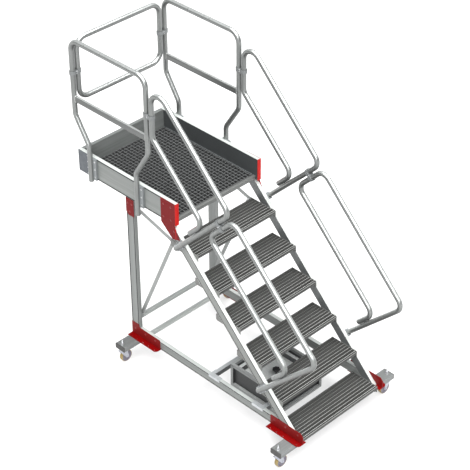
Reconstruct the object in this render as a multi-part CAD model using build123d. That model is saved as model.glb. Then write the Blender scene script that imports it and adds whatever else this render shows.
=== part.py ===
from build123d import *
import math
import os

os.makedirs("parts", exist_ok=True)

# Mobile platform ladder. Lengths in millimetres, +Z up.
# The user climbs towards +Y, the platform lies at the rear, the ladder is alike left (-X) and right (+X).
# While it is drawn, Y = 0 is the platform's front edge; the last step centres it on the floor.

# Stairs
clear_width = 800
side_thickness = 30
tread_count = 6
first_tread_height = 197
rise = 213
slope_angle = 45
stringer_depth = 75
stringer_setback = 54
tread_depth = 247
tread_plate = 4
tread_rib_height = 5
tread_rib_spacing = 28
tread_rib_width = 11
tread_rib_start = 15
tread_nose_height = 29
tread_nose_width = 9
tread_nose_groove = 3
tread_nose_chamfer = 3
tread_wall = 4
tread_tail_height = 29
cheek_thickness = 4
cheek_height = 55
brace_lug_length = 40
bottom_cheek_rise = 42

# Profiles
profile_wall = 3
groove_width = 4
groove_depth = 2
groove_inset = 8

# Platform
platform_length = 1000
platform_lead = 20
toe_board_height = 148
deck_frame_drop = 35
ledge_width = 20
ledge_thickness = 3
deck_frame_height = 30
front_profile_depth = 22
front_profile_round = 4
bearing_bar_thickness = 3
bearing_bar_height = 24
bearing_bar_pitch = 32
cross_bar_width = 5
cross_bar_pitch = 32
deck_play = 3
corner_cap_length = 115
corner_cap_return = 130
corner_cap_thickness = 3

# Legs and base
leg_front = 430
leg_depth = 83
base_beam_front = 1300
base_beam_depth = 75
base_beam_bottom = 178
leg_bar_height = 324
leg_bar_size = 30
base_bar_setback = 75
base_bar_size = 30
base_bar_lift = 22

# Red plates
plate_thickness = 4
flange_thickness = 6
flange_reach = 52
flange_corner = 30
front_bracket_length = 320
rear_bracket_length = 317
bracket_rise = 9
bracket_leg_rise = 24
flange_hole = 9
flange_hole_count = 5
flange_hole_edge = 14
platform_plate_length = 150
platform_plate_neck = 7
platform_plate_tail_front = 61
platform_plate_tail_rise = 23
platform_plate_tail_rear = 12
platform_plate_tail_drop = 128
platform_plate_rear_drop = 25
leg_plate_drop = 145
leg_plate_corner = 25

# Braces
brace_width = 30
brace_thickness = 5
brace_pin_rise = 12
brace_top_drop = 75
brace_foot_rise = 109
brace_foot_inset = 25
brace_pad = 40

# Tubes
tube_diameter = 40
tube_wall = 2.5
tube_gap = 0.5
clamp_pitch = 50

# Guard rails
guard_height = 1083
guard_front = 222
guard_overhang = 12
guard_foot_front = 360
guard_foot_inset = 125
guard_bend = 85
crank_bend = 90
crank_low = 250
crank_rise = 215
front_foot_drop = 75
rear_foot_drop = 18
knee_height = 602
knee_rail_height = 50
knee_rail_thickness = 20
knee_rail_round = 6
weld_gap = 0.3
rear_guard_top = 1063
rear_guard_bottom = 578
rear_guard_bend = 85
guard_clamp_height = 813

# Handrails, measured straight up from the line of the tread noses
upper_rail_rise = 933
lower_rail_rise = 453
handrail_bend = 70
handrail_top_bend = 85
stub_rise = 187
handrail_foot_overhang = 10
upper_post_slide = 591
lower_post_slide = 1424
handrail_clamp_height = 798
middle_clamp_drop = 155

# Clamps, post holders and handrail feet
clamp_wall = 5
clamp_length = 30
clamp_bore_gap = 0.3
holder_thickness = 17
holder_front_length = 55
holder_rear_length = 26
foot_block_length = 92
foot_block_width = 56
foot_block_thickness = 24

# Caster outriggers
outrigger_width = 100
outrigger_height = 44
outrigger_reach = 617
outrigger_wall = 4
outrigger_cap = 6
front_outrigger = 1208
rear_outrigger = 456

# Casters
caster_inset = 27
wheel_diameter = 100
wheel_width = 32
hub_diameter = 34
hub_width = 36
hub_gap = 0.5
rim_recess = 6
rim_outer = 78
axle_diameter = 8
running_gap = 0.05
trail = 28
fork_thickness = 3
fork_crown_gap = 6
fork_crown_thickness = 4
fork_top_length = 56
fork_axle_round = 14
race_diameter = 54
race_height = 6
race_gap = 0.3
stem_diameter = 12
stem_height = 42
nut_across = 22
nut_height = 11
stem_hole_gap = 0.5
pedal_width = 34
pedal_thickness = 3
pedal_flat = 62
pedal_drop = 16
pedal_reach = 98

# Ballast box
box_half_width = 236
box_rear = 372
box_front = 870
box_lift = 5
box_height = 208
box_frame = 24
box_panel_inset = 20
box_sheet = 3
ballast_height = 90
ballast_gap = 6
cover_lip = 28
cover_drop = 48
cover_depth = 46
box_bar_height = 40
box_bar_width = 30
box_hook_length = 108
box_hook_thickness = 6
box_hook_lip = 16
box_hook_tab = 40
knob_diameter = 64
knob_height = 26
knob_rise = 30
spindle_diameter = 14

# Worked out from the sizes above
overrun = 50
slope = math.radians(slope_angle)
going = rise / math.tan(slope)
deck_height = first_tread_height + tread_count * rise
inner_face = clear_width / 2
outer_face = inner_face + side_thickness
side_middle = (inner_face + outer_face) / 2
beam_bottom = deck_height - deck_frame_drop
beam_top = deck_height + toe_board_height
beam_rear = platform_length + side_thickness
deck_seat = deck_height - deck_frame_height
base_beam_top = base_beam_bottom + base_beam_depth
flange_bottom = base_beam_bottom - flange_thickness
leg_rear = leg_front + leg_depth
leg_middle = leg_front + leg_depth / 2
guard_rear = platform_length + guard_overhang
guard_foot_rear = platform_length - guard_foot_inset
caster_axis = outrigger_reach - caster_inset
tube_radius = tube_diameter / 2
rail_plane = outer_face + tube_gap + tube_radius
guard_top = deck_height + guard_height
wheel_radius = wheel_diameter / 2
outrigger_bottom = flange_bottom - outrigger_height
box_top = base_beam_top + box_lift
box_bottom = box_top - box_height
# A unit step along the stairs, downwards, and one square to them, towards the ground behind.
down = (-math.cos(slope), -math.sin(slope))
square = (math.sin(slope), -math.cos(slope))
stringer_middle = stringer_setback * math.sin(slope) + stringer_depth / 2

nodes = {}


def slab(points, low, high):
    """A plate whose (y, z) outline is drawn in the side view and whose faces lie at x = low and x = high."""
    face = make_face(Polyline(*[(low, y, z) for y, z in points], close=True))
    return extrude(face, amount=high - low, dir=(1, 0, 0))


def block(low, high):
    """A box between two corners."""
    size = [b - a for a, b in zip(low, high)]
    middle = [(a + b) / 2 for a, b in zip(low, high)]
    return Pos(*middle) * Box(*size)


def mirrored(shape):
    """The left piece and its mirror image on the right, in one node."""
    return Compound(children=[*shape.solids(), *mirror(shape, Plane.YZ).solids()])


def profile_section(depth):
    """A hollow rectangular extrusion with a shallow groove along both edges of its outer face."""
    section = Rectangle(side_thickness, depth)
    section -= Rectangle(side_thickness - 2 * profile_wall, depth - 2 * profile_wall)
    for edge in (-1, 1):
        place = Pos(side_thickness / 2, edge * (depth / 2 - groove_inset))
        section -= place * Rectangle(2 * groove_depth, groove_width)
    return section


def profile_bar(start, end, depth, side):
    """A length of that extrusion from one (y, z) to another, on the left (-1) or right (1) side."""
    run = (end[0] - start[0], end[1] - start[1])
    plane = Plane(
        origin=(side * side_middle, *start), x_dir=(side, 0, 0), z_dir=(0, *run)
    )
    return extrude(plane * profile_section(depth), amount=math.hypot(*run))


def tube(points, bend):
    """A bent round tube along (x, y, z) points, with one bend radius for all corners or one for each."""
    path = FilletPolyline(*points, radius=bend)
    start = Plane(origin=path @ 0, z_dir=path % 0)
    ring = Circle(tube_radius) - Circle(tube_radius - tube_wall)
    return sweep(start * ring, path=path)


def side_tube(points, bend, side):
    """A bent tube in the plane of the rails, from (y, z) points."""
    return tube([(side * rail_plane, y, z) for y, z in points], bend)


def rail_height(rise_above, y):
    """The height of a line that runs along the stairs, so much above the noses."""
    return deck_height + rise_above + y * math.tan(slope)


# Stringers, cut level on the base beam and under the platform
for side, name in ((-1, "left"), (1, "right")):
    edge = (stringer_middle * square[0], deck_height + stringer_middle * square[1])
    length = (tread_count + 1) * rise / math.sin(slope)
    low = (edge[0] + length * down[0], edge[1] + length * down[1])
    high = (edge[0] - platform_length * down[0], edge[1] - platform_length * down[1])
    stringer = profile_bar(low, high, stringer_depth, side)
    reach = base_beam_front + platform_length
    stringer &= block(
        (-outer_face - overrun, -reach, base_beam_top),
        (outer_face + overrun, reach, beam_bottom),
    )
    nodes[f"stringer_{name}"] = stringer

# Treads: a ribbed plank with a grooved nose, and a bolted cheek at both ends


def tread_outline(nose, top):
    """The plank's (y, z) section from its nose, over the ribs, to the tail, with a thin underside."""
    valley = top - tread_rib_height
    low = top - tread_nose_height
    middle = top - tread_nose_height / 2
    points = [
        (nose, low),
        (nose, middle - tread_nose_groove),
        (nose + tread_nose_groove, middle - tread_nose_groove / 2),
        (nose + tread_nose_groove, middle + tread_nose_groove / 2),
        (nose, middle + tread_nose_groove),
        (nose, top - tread_nose_chamfer),
        (nose + tread_nose_chamfer, top),
        (nose + tread_nose_width, top),
        (nose + tread_nose_width, valley),
    ]
    rib_count = int((tread_depth - tread_rib_start) // tread_rib_spacing) + 1
    for k in range(rib_count):
        start = nose + tread_rib_start + k * tread_rib_spacing
        end = min(start + tread_rib_width, nose + tread_depth)
        points += [(start, valley), (start, top), (end, top)]
        if end < nose + tread_depth:
            points += [(end, valley)]
    tail = nose + tread_depth
    under = valley - tread_plate
    points += [
        (tail, top - tread_tail_height),
        (tail - tread_wall, top - tread_tail_height),
        (tail - tread_wall, under),
        (nose + tread_nose_groove + tread_wall, under),
        (nose + tread_nose_groove + tread_wall, low),
    ]
    return points


for number in range(1, tread_count + 1):
    nose = -number * going
    top = deck_height - number * rise
    plank = inner_face - cheek_thickness
    tread = slab(tread_outline(nose, top), -plank, plank)
    tail = nose + tread_depth
    outline = [
        (nose, top - cheek_height),
        (nose, top),
        (tail, top),
        (tail, top - cheek_height),
    ]
    if number == 1:
        outline[2:] = [
            (tail + brace_lug_length, top),
            (tail + brace_lug_length, top - cheek_height),
        ]
    if number == tread_count:
        raised = top + bottom_cheek_rise
        outline[2:3] = [(nose + cheek_height, raised), (tail, raised)]
    for side in (-1, 1):
        cheek = slab(outline, plank, inner_face)
        tread += cheek if side == 1 else mirror(cheek, Plane.YZ)
    nodes[f"tread_{number}"] = tread

# Platform: side beams that are toe boards too, with a ledge under the deck, and the rear board


def toe_board(low, high):
    """The hollow grooved board, drawn in the front view for the right side, from y low to high."""
    section = Pos(side_middle, (beam_bottom + beam_top) / 2) * Rectangle(
        side_thickness, beam_top - beam_bottom
    )
    section -= Pos(side_middle, (beam_bottom + beam_top) / 2) * Rectangle(
        side_thickness - 2 * profile_wall, beam_top - beam_bottom - 2 * profile_wall
    )
    for level in (beam_bottom + groove_inset, beam_top - groove_inset):
        section -= Pos(outer_face, level) * Rectangle(2 * groove_depth, groove_width)
    plane = Plane(origin=(0, high, 0), x_dir=(1, 0, 0), z_dir=(0, -1, 0))
    return extrude(plane * section, amount=high - low)


right_beam = toe_board(-platform_lead, beam_rear)
right_beam += block(
    (inner_face - ledge_thickness, 0, deck_seat - ledge_thickness),
    (inner_face, platform_length, deck_height),
)
right_beam += block(
    (inner_face - ledge_width, 0, deck_seat - ledge_thickness),
    (inner_face, platform_length, deck_seat),
)
nodes["platform_beam_right"] = right_beam
nodes["platform_beam_left"] = mirror(right_beam, Plane.YZ)

rear_section = Pos(platform_length + side_thickness / 2, (beam_bottom + beam_top) / 2) * (
    Rectangle(side_thickness, beam_top - beam_bottom)
    - Rectangle(side_thickness - 2 * profile_wall, beam_top - beam_bottom - 2 * profile_wall)
)
rear_plane = Plane(origin=(-inner_face, 0, 0), x_dir=(0, 1, 0), z_dir=(1, 0, 0))
nodes["platform_rear_board"] = extrude(rear_plane * rear_section, amount=clear_width)

front_section = Pos(front_profile_depth / 2, deck_height - deck_frame_height / 2) * (
    Rectangle(front_profile_depth, deck_frame_height)
    - Rectangle(front_profile_depth - 2 * profile_wall, deck_frame_height - 2 * profile_wall)
)
front_plane = Plane(
    origin=(-inner_face + ledge_thickness, 0, 0), x_dir=(0, 1, 0), z_dir=(1, 0, 0)
)
front_edge = extrude(front_plane * front_section, amount=clear_width - 2 * ledge_thickness)
nose_edge = front_edge.edges().filter_by(Axis.X).group_by(Axis.Y)[0].sort_by(Axis.Z)[-1]
nodes["platform_front_edge"] = fillet(nose_edge, front_profile_round)

bar_span = clear_width - 2 * ledge_thickness - 2 * deck_play
bar_room = platform_length - front_profile_depth - 2 * deck_play
bar_count = int((bar_room - bearing_bar_thickness) // bearing_bar_pitch) + 1
deck_middle = front_profile_depth + deck_play + bar_room / 2
bearing_bars = [
    place * Box(bar_span, bearing_bar_thickness, bearing_bar_height)
    for place in GridLocations(0, bearing_bar_pitch, 1, bar_count)
]
bearing_level = deck_seat + bearing_bar_height / 2
nodes["deck_bearing_bars"] = Compound(
    children=[Pos(0, deck_middle, bearing_level) * bar for bar in bearing_bars]
)
cross_bar_height = deck_frame_height - bearing_bar_height
cross_length = (bar_count - 1) * bearing_bar_pitch + bearing_bar_thickness
cross_count = int((bar_span - cross_bar_width) // cross_bar_pitch) + 1
cross_level = deck_height - cross_bar_height / 2
nodes["deck_cross_bars"] = Compound(
    children=[
        Pos(0, deck_middle, cross_level)
        * place
        * Box(cross_bar_width, cross_length, cross_bar_height)
        for place in GridLocations(cross_bar_pitch, 0, cross_count, 1)
    ]
)

cap_low = (-outer_face - corner_cap_thickness, beam_rear - corner_cap_length, beam_bottom)
corner_cap = block(cap_low, (-outer_face, beam_rear + corner_cap_thickness, beam_top))
corner_cap += block(
    (-outer_face, beam_rear, beam_bottom),
    (-outer_face + corner_cap_return, beam_rear + corner_cap_thickness, beam_top),
)
nodes["platform_corners"] = mirrored(corner_cap)

# Legs and base beams
for side, name in ((-1, "left"), (1, "right")):
    nodes[f"leg_{name}"] = profile_bar(
        (leg_middle, base_beam_top), (leg_middle, beam_bottom), leg_depth, side
    )
    beam_middle = (base_beam_bottom + base_beam_top) / 2
    nodes[f"base_beam_{name}"] = profile_bar(
        (-base_beam_front, beam_middle), (leg_rear, beam_middle), base_beam_depth, side
    )

nodes["leg_cross_bar"] = Pos(0, leg_middle, leg_bar_height) * Rot(0, 90, 0) * (
    extrude(
        RectangleRounded(leg_bar_size, leg_bar_size, profile_wall)
        - Rectangle(leg_bar_size - 2 * profile_wall, leg_bar_size - 2 * profile_wall),
        amount=inner_face,
        both=True,
    )
)
base_bar_level = base_beam_bottom + base_bar_lift + base_bar_size / 2
nodes["base_cross_bar"] = Pos(0, leg_front - base_bar_setback, base_bar_level) * Rot(0, 90, 0) * (
    extrude(
        RectangleRounded(base_bar_size, base_bar_size, profile_wall)
        - Rectangle(base_bar_size - 2 * profile_wall, base_bar_size - 2 * profile_wall),
        amount=inner_face,
        both=True,
    )
)


# Red corner brackets of the base: a web on the outside and a drilled flange under the beam
def base_bracket(front, rear, rises):
    """The left bracket from y front to y rear; rises are (y, z) corners of the web's top edge."""
    web = slab(
        [(front, flange_bottom), *rises, (rear, flange_bottom)],
        -outer_face - plate_thickness,
        -outer_face,
    )
    reach = outer_face + flange_reach
    plan = Pos(-(reach + inner_face) / 2, (front + rear) / 2) * Rectangle(
        reach - inner_face, rear - front
    )
    corner = plan.vertices().sort_by(Axis.Y)[:2].sort_by(Axis.X)[0]
    plan = fillet(corner, flange_corner)
    pitch = (rear - front) / flange_hole_count
    for k in range(flange_hole_count):
        spot = Pos(-reach + flange_hole_edge, front + (k + 0.5) * pitch)
        plan -= spot * Circle(flange_hole / 2)
    flange = Pos(0, 0, flange_bottom) * extrude(plan, amount=flange_thickness)
    return web + flange


web_top = base_beam_top + bracket_rise
front_end = -base_beam_front
front_bracket = base_bracket(
    front_end,
    front_end + front_bracket_length,
    [
        (front_end, web_top - bracket_leg_rise),
        (front_end + bracket_leg_rise, web_top),
        (front_end + front_bracket_length, web_top),
    ],
)
nodes["base_brackets_front"] = mirrored(front_bracket)
rear_bracket = base_bracket(
    leg_rear - rear_bracket_length,
    leg_rear,
    [
        (leg_rear - rear_bracket_length, web_top),
        (leg_front, web_top),
        (leg_front, web_top + bracket_leg_rise),
        (leg_rear, web_top + bracket_leg_rise),
    ],
)
nodes["base_brackets_rear"] = mirrored(rear_bracket)

# Red plates that join the stringers to the platform, each with a flange on the beam's front end
upper_setback = stringer_setback * math.tan(slope)
lower_setback = upper_setback + stringer_depth / math.cos(slope)
tail_level = beam_bottom - platform_plate_tail_drop
platform_plate = slab(
    [
        (-platform_lead, beam_top),
        (-platform_lead + platform_plate_length, beam_top),
        (-platform_lead + platform_plate_length, beam_bottom - platform_plate_rear_drop),
        (platform_plate_tail_rear, tail_level),
        (-platform_plate_tail_front, tail_level + platform_plate_tail_rise),
        (-platform_plate_neck, beam_bottom),
        (-platform_lead, beam_bottom + platform_plate_neck),
    ],
    -outer_face - plate_thickness,
    -outer_face,
)
platform_plate += block(
    (-outer_face - plate_thickness, -platform_lead - plate_thickness, beam_bottom),
    (-inner_face, -platform_lead, beam_top),
)
nodes["platform_plates"] = mirrored(platform_plate)

# Red plates on the heads of the legs, with a flange under the platform beam
leg_plate = slab(
    [
        (leg_front, beam_bottom),
        (leg_front, beam_bottom - leg_plate_drop),
        (leg_rear - leg_plate_corner, beam_bottom - leg_plate_drop),
        (leg_rear, beam_bottom - leg_plate_drop + leg_plate_corner),
        (leg_rear, beam_bottom),
    ],
    -outer_face - plate_thickness,
    -outer_face,
)
nodes["leg_head_plates"] = mirrored(leg_plate)


# Braces from the rear of the top tread to the head and the foot of the legs
def flat_bar(start, end, low, high):
    """A flat bar with round ends between two (y, z) pins."""
    run = (end[0] - start[0], end[1] - start[1])
    length = math.hypot(*run)
    plane = Plane(origin=(low, *start), x_dir=(0, *run), z_dir=(1, 0, 0))
    outline = Pos(length / 2, 0) * SlotCenterToCenter(length, brace_width)
    return extrude(plane * outline, amount=high - low)


pin_y = -going + tread_depth + brace_lug_length / 2
pin_z = deck_height - rise - brace_pin_rise
brace_inside = -inner_face + cheek_thickness
upper_end = (leg_middle, beam_bottom - brace_top_drop)
lower_end = (leg_middle - brace_foot_inset, base_beam_top + brace_foot_rise)
brace = flat_bar((pin_y, pin_z), upper_end, brace_inside, brace_inside + brace_thickness)
brace += flat_bar(
    (pin_y, pin_z), lower_end, brace_inside + brace_thickness, brace_inside + 2 * brace_thickness
)
for (y, z), reach in ((upper_end, brace_thickness), (lower_end, 2 * brace_thickness)):
    brace += block(
        (-inner_face, y - brace_pad / 2, z - brace_pad / 2),
        (brace_inside + reach, y + brace_pad / 2, z + brace_pad / 2),
    )
nodes["braces"] = mirrored(brace)

# Guard rails
crank_foot = deck_height + crank_low
crank_head = crank_foot + crank_rise
for side, name in ((-1, "left"), (1, "right")):
    nodes[f"guard_hoop_{name}"] = side_tube(
        [
            (guard_foot_rear, beam_bottom - rear_foot_drop),
            (guard_foot_rear, crank_foot),
            (guard_rear, crank_head),
            (guard_rear, guard_top),
            (guard_front, guard_top),
            (guard_front, crank_head),
            (guard_foot_front, crank_foot),
            (guard_foot_front, beam_bottom - front_foot_drop),
        ],
        [crank_bend, crank_bend, guard_bend, guard_bend, crank_bend, crank_bend],
        side,
    )

knee_section = RectangleRounded(knee_rail_thickness, knee_rail_height, knee_rail_round)
knee_section -= Rectangle(
    knee_rail_thickness - 2 * tube_wall, knee_rail_height - 2 * knee_rail_round
)
knee_plane = Plane(
    origin=(-rail_plane, guard_rear, deck_height + knee_height), x_dir=(1, 0, 0), z_dir=(0, -1, 0)
)
knee_rail = extrude(knee_plane * knee_section, amount=guard_rear - guard_front)
for post in (guard_front, guard_rear):
    knee_rail -= Pos(-rail_plane, post, deck_height + knee_height) * Cylinder(
        tube_radius + weld_gap, knee_rail_height + overrun
    )
nodes["knee_rails"] = mirrored(knee_rail)

guard_x = rail_plane - clamp_pitch
loop_low = deck_height + rear_guard_bottom
loop_high = deck_height + rear_guard_top
half_loop = tube(
    [
        (0, guard_rear, loop_high),
        (guard_x, guard_rear, loop_high),
        (guard_x, guard_rear, loop_low),
        (0, guard_rear, loop_low),
    ],
    rear_guard_bend,
)
nodes["guard_rear_loop"] = half_loop + mirror(half_loop, Plane.YZ)

# Handrails: each side has an upper and a lower bent tube, closed on themselves by a stub beside the post

def along_post(shift, rise_above):
    """The (y, z), so high above the noses, on the post that meets the upper rail at y = -shift."""
    y = -shift + (upper_rail_rise - rise_above) * math.sin(slope) * math.cos(slope)
    return y, rail_height(rise_above, y)


foot_rise = -(lower_setback + handrail_foot_overhang)
stub_shift = (tube_diameter + tube_gap) * math.cos(slope)
clamp_shift = clamp_pitch * math.cos(slope)
handrail_front = guard_front - clamp_pitch
for side, name in ((-1, "left"), (1, "right")):
    upper = [
        along_post(upper_post_slide - stub_shift, stub_rise),
        along_post(upper_post_slide - stub_shift, lower_rail_rise),
        (handrail_front, rail_height(lower_rail_rise, handrail_front)),
        (handrail_front, rail_height(upper_rail_rise, handrail_front)),
        along_post(upper_post_slide, upper_rail_rise),
        along_post(upper_post_slide, foot_rise),
    ]
    nodes[f"handrail_upper_{name}"] = side_tube(
        upper,
        [handrail_bend, handrail_bend, handrail_top_bend, handrail_bend],
        side,
    )
    head_shift = upper_post_slide + clamp_shift
    lower = [
        along_post(lower_post_slide - stub_shift, stub_rise),
        along_post(lower_post_slide - stub_shift, lower_rail_rise),
        along_post(head_shift, lower_rail_rise),
        along_post(head_shift, upper_rail_rise),
        along_post(lower_post_slide, upper_rail_rise),
        along_post(lower_post_slide, foot_rise),
    ]
    nodes[f"handrail_lower_{name}"] = side_tube(lower, handrail_bend, side)


# Clamps that tie two parallel tubes together
def double_clamp(centre, tube_axis, across):
    """A block with two bores, a clamp pitch apart along across, both parallel to tube_axis."""
    plane = Plane(origin=centre, x_dir=across, z_dir=tube_axis)
    width = tube_diameter + 2 * clamp_wall
    section = SlotCenterToCenter(clamp_pitch, width)
    for end in (-1, 1):
        section -= Pos(end * clamp_pitch / 2, 0) * Circle(tube_radius + clamp_bore_gap)
    return extrude(plane * section, amount=clamp_length / 2, both=True)


middle_y, middle_z = along_post(
    upper_post_slide + clamp_shift / 2, upper_rail_rise - middle_clamp_drop / math.cos(slope)
)
clamps = double_clamp(
    (-(rail_plane + guard_x) / 2, guard_rear, deck_height + guard_clamp_height), (0, 0, 1), (1, 0, 0)
)
clamps += double_clamp(
    (-rail_plane, (guard_front + handrail_front) / 2, deck_height + handrail_clamp_height),
    (0, 0, 1),
    (0, 1, 0),
)
clamps += double_clamp((-rail_plane, middle_y, middle_z), (0, *square), (0, *down))
nodes["rail_clamps"] = mirrored(clamps)

# Holders of the guard rail feet on the platform beams
holders = []
for foot in (guard_foot_front, guard_foot_rear):
    holder = block(
        (-outer_face - holder_thickness, foot - holder_front_length, beam_bottom),
        (-outer_face, foot + holder_rear_length, beam_top),
    )
    holder -= Pos(-rail_plane, foot, (beam_bottom + beam_top) / 2) * Cylinder(
        tube_radius + clamp_bore_gap, beam_top - beam_bottom + overrun
    )
    holders.append(holder)
nodes["post_holders"] = mirrored(Compound(children=[s for h in holders for s in h.solids()]))

# Feet of the handrails on the stringers
feet = []
for slide in (upper_post_slide, lower_post_slide):
    y, z = along_post(slide, -(upper_setback + lower_setback) / 2)
    plane = Plane(origin=(-outer_face, y, z), x_dir=(0, *square), z_dir=(-1, 0, 0))
    foot = extrude(
        plane * Rectangle(foot_block_length, foot_block_width), amount=foot_block_thickness
    )
    bore = Plane(origin=(-rail_plane, y, z), z_dir=(0, *square)) * Circle(tube_radius + clamp_bore_gap)
    foot -= extrude(bore, amount=foot_block_length, both=True)
    feet += foot.solids()
nodes["handrail_feet"] = mirrored(Compound(children=feet))

# Outriggers under the base beams and their end caps
outriggers = {"front": -front_outrigger, "rear": rear_outrigger}
caps = []
for end, y in outriggers.items():
    length = outrigger_reach - outrigger_cap - inner_face
    plane = Plane(
        origin=(-inner_face, y, flange_bottom - outrigger_height / 2), x_dir=(0, 1, 0), z_dir=(-1, 0, 0)
    )
    section = RectangleRounded(outrigger_width, outrigger_height, outrigger_wall)
    cap = extrude(plane * section, amount=outrigger_cap)
    caps += (Pos(-length, 0, 0) * cap).solids()
    section -= Rectangle(
        outrigger_width - 2 * outrigger_wall, outrigger_height - 2 * outrigger_wall
    )
    arm = extrude(plane * section, amount=length)
    arm -= Pos(-caster_axis, y, flange_bottom) * Cylinder(
        stem_diameter / 2 + stem_hole_gap, 2 * outrigger_height + overrun
    )
    nodes[f"outriggers_{end}"] = mirrored(arm)
nodes["outrigger_caps"] = mirrored(Compound(children=caps))

# Casters: a stem through the outrigger, a swivelling fork that trails inwards, and a wheel
race_top = outrigger_bottom
head_top = race_top - race_height - race_gap
crown_bottom = wheel_diameter + fork_crown_gap
leg_inside = hub_width / 2 + hub_gap
stems = []
for end, y in outriggers.items():
    for side, name in ((-1, "left"), (1, "right")):
        axis = Pos(side * caster_axis, y, 0)
        turn = Rot(0, 0, 0) if side == -1 else Rot(0, 0, 180)
        stem = Pos(0, 0, crown_bottom + fork_crown_thickness) * Cylinder(
            stem_diameter / 2,
            flange_bottom + stem_height - crown_bottom - fork_crown_thickness,
            align=(Align.CENTER, Align.CENTER, Align.MIN),
        )
        stem += Pos(0, 0, race_top - race_height) * Cylinder(
            race_diameter / 2, race_height, align=(Align.CENTER, Align.CENTER, Align.MIN)
        )
        stem += Pos(0, 0, flange_bottom) * extrude(
            RegularPolygon(nut_across / 2, 6, major_radius=False), amount=nut_height
        )
        stems += (axis * stem).solids()
        fork = Pos(0, 0, crown_bottom) * Cylinder(
            race_diameter / 2,
            head_top - crown_bottom,
            align=(Align.CENTER, Align.CENTER, Align.MIN),
        )
        fork -= Pos(0, 0, crown_bottom) * Cylinder(
            stem_diameter / 2 + running_gap,
            2 * (head_top - crown_bottom) + overrun,
            align=(Align.CENTER, Align.CENTER, Align.CENTER),
        )
        crown = block(
            (-fork_top_length / 2, -leg_inside - fork_thickness, crown_bottom),
            (fork_top_length / 2, leg_inside + fork_thickness, crown_bottom + fork_crown_thickness),
        )
        fork += crown - Pos(0, 0, crown_bottom) * Cylinder(
            stem_diameter / 2 + running_gap, 2 * fork_crown_thickness + overrun
        )
        leg_plane = Plane(origin=(0, -leg_inside, 0), x_dir=(1, 0, 0), z_dir=(0, -1, 0))
        blade = make_hull(
            [
                *(Pos(trail, wheel_radius) * Circle(fork_axle_round)).edges(),
                *(
                    Pos(0, crown_bottom + fork_crown_thickness / 2)
                    * Rectangle(fork_top_length, fork_crown_thickness)
                ).edges(),
            ]
        )
        blade_solid = extrude(leg_plane * blade, amount=fork_thickness)
        fork += blade_solid
        fork += mirror(blade_solid, Plane.XZ)
        axle_plane = Plane(
            origin=(trail, leg_inside + 2 * fork_thickness, wheel_radius), z_dir=(0, -1, 0)
        )
        fork += extrude(
            axle_plane * Circle(axle_diameter / 2), amount=2 * leg_inside + 4 * fork_thickness
        )
        nodes[f"caster_fork_{end}_{name}"] = axis * turn * fork

        pedal_points = [
            (fork_top_length / 2, crown_bottom),
            (fork_top_length / 2, crown_bottom + pedal_thickness),
            (pedal_flat, crown_bottom + pedal_thickness),
            (pedal_reach, crown_bottom + pedal_thickness - pedal_drop),
            (pedal_reach, crown_bottom - pedal_drop),
            (pedal_flat, crown_bottom),
        ]
        pedal_face = make_face(
            Polyline(*[(x, -pedal_width / 2, z) for x, z in pedal_points], close=True)
        )
        pedal = extrude(pedal_face, amount=pedal_width, dir=(0, 1, 0))
        nodes[f"brake_pedal_{end}_{name}"] = axis * turn * pedal

        wheel_plane = Plane(origin=(trail, 0, wheel_radius), z_dir=(0, -1, 0))
        wheel = extrude(wheel_plane * Circle(wheel_radius), amount=wheel_width / 2, both=True)
        for face in (-1, 1):
            recess_plane = Plane(
                origin=(trail, face * wheel_width / 2, wheel_radius), z_dir=(0, -face, 0)
            )
            wheel -= extrude(
                recess_plane * (Circle(rim_outer / 2) - Circle(hub_diameter / 2)), amount=rim_recess
            )
        wheel += extrude(wheel_plane * Circle(hub_diameter / 2), amount=hub_width / 2, both=True)
        wheel -= extrude(
            wheel_plane * Circle(axle_diameter / 2 + running_gap), amount=hub_width, both=True
        )
        nodes[f"wheel_{end}_{name}"] = axis * turn * wheel
nodes["caster_stems"] = Compound(children=stems)

# Ballast box between the base beams: a welded frame with panels set back in it, the load, and a stepped cover
box_low = (-box_half_width, -box_front, box_bottom)
box_high = (box_half_width, -box_rear, box_top)
box = block(box_low, box_high)
wall = box_panel_inset + box_sheet
box -= block(
    (-box_half_width + wall, -box_front + wall, box_bottom + box_sheet),
    (box_half_width - wall, -box_rear - wall, box_top + overrun),
)
window_low = box_bottom + box_frame
window_high = box_top - box_frame
for side in (-1, 1):
    face = sorted((side * (box_half_width - box_panel_inset), side * (box_half_width + overrun)))
    box -= block(
        (face[0], -box_front + box_frame, window_low), (face[1], -box_rear - box_frame, window_high)
    )
across = box_half_width - box_frame
box -= block(
    (-across, -box_front - overrun, window_low), (across, -box_front + box_panel_inset, window_high)
)
box -= block(
    (-across, -box_rear - box_panel_inset, window_low), (across, -box_rear + overrun, window_high)
)
nodes["ballast_box"] = box
inner_low = (-box_half_width + wall, -box_front + wall)
inner_high = (box_half_width - wall, -box_rear - wall)
nodes["ballast_weight"] = block(
    (inner_low[0] + ballast_gap, inner_low[1] + ballast_gap, box_bottom + box_sheet),
    (inner_high[0] - ballast_gap, inner_high[1] - ballast_gap, box_bottom + box_sheet + ballast_height),
)
ledge_level = box_top - cover_drop
pan_level = ledge_level - cover_depth
cover = block((*inner_low, ledge_level - box_sheet), (*inner_high, ledge_level))
cover += block(
    (inner_low[0] + cover_lip - box_sheet, inner_low[1] + cover_lip - box_sheet, pan_level - box_sheet),
    (inner_high[0] - cover_lip + box_sheet, inner_high[1] - cover_lip + box_sheet, ledge_level),
)
cover -= block(
    (inner_low[0] + cover_lip, inner_low[1] + cover_lip, pan_level),
    (inner_high[0] - cover_lip, inner_high[1] - cover_lip, box_top),
)
box_middle = Pos(0, -(box_front + box_rear) / 2, 0)
cover -= box_middle * Pos(0, 0, pan_level) * Cylinder(
    spindle_diameter / 2 + clamp_bore_gap, 2 * box_sheet + overrun
)
nodes["ballast_cover"] = cover
bars = []
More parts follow.
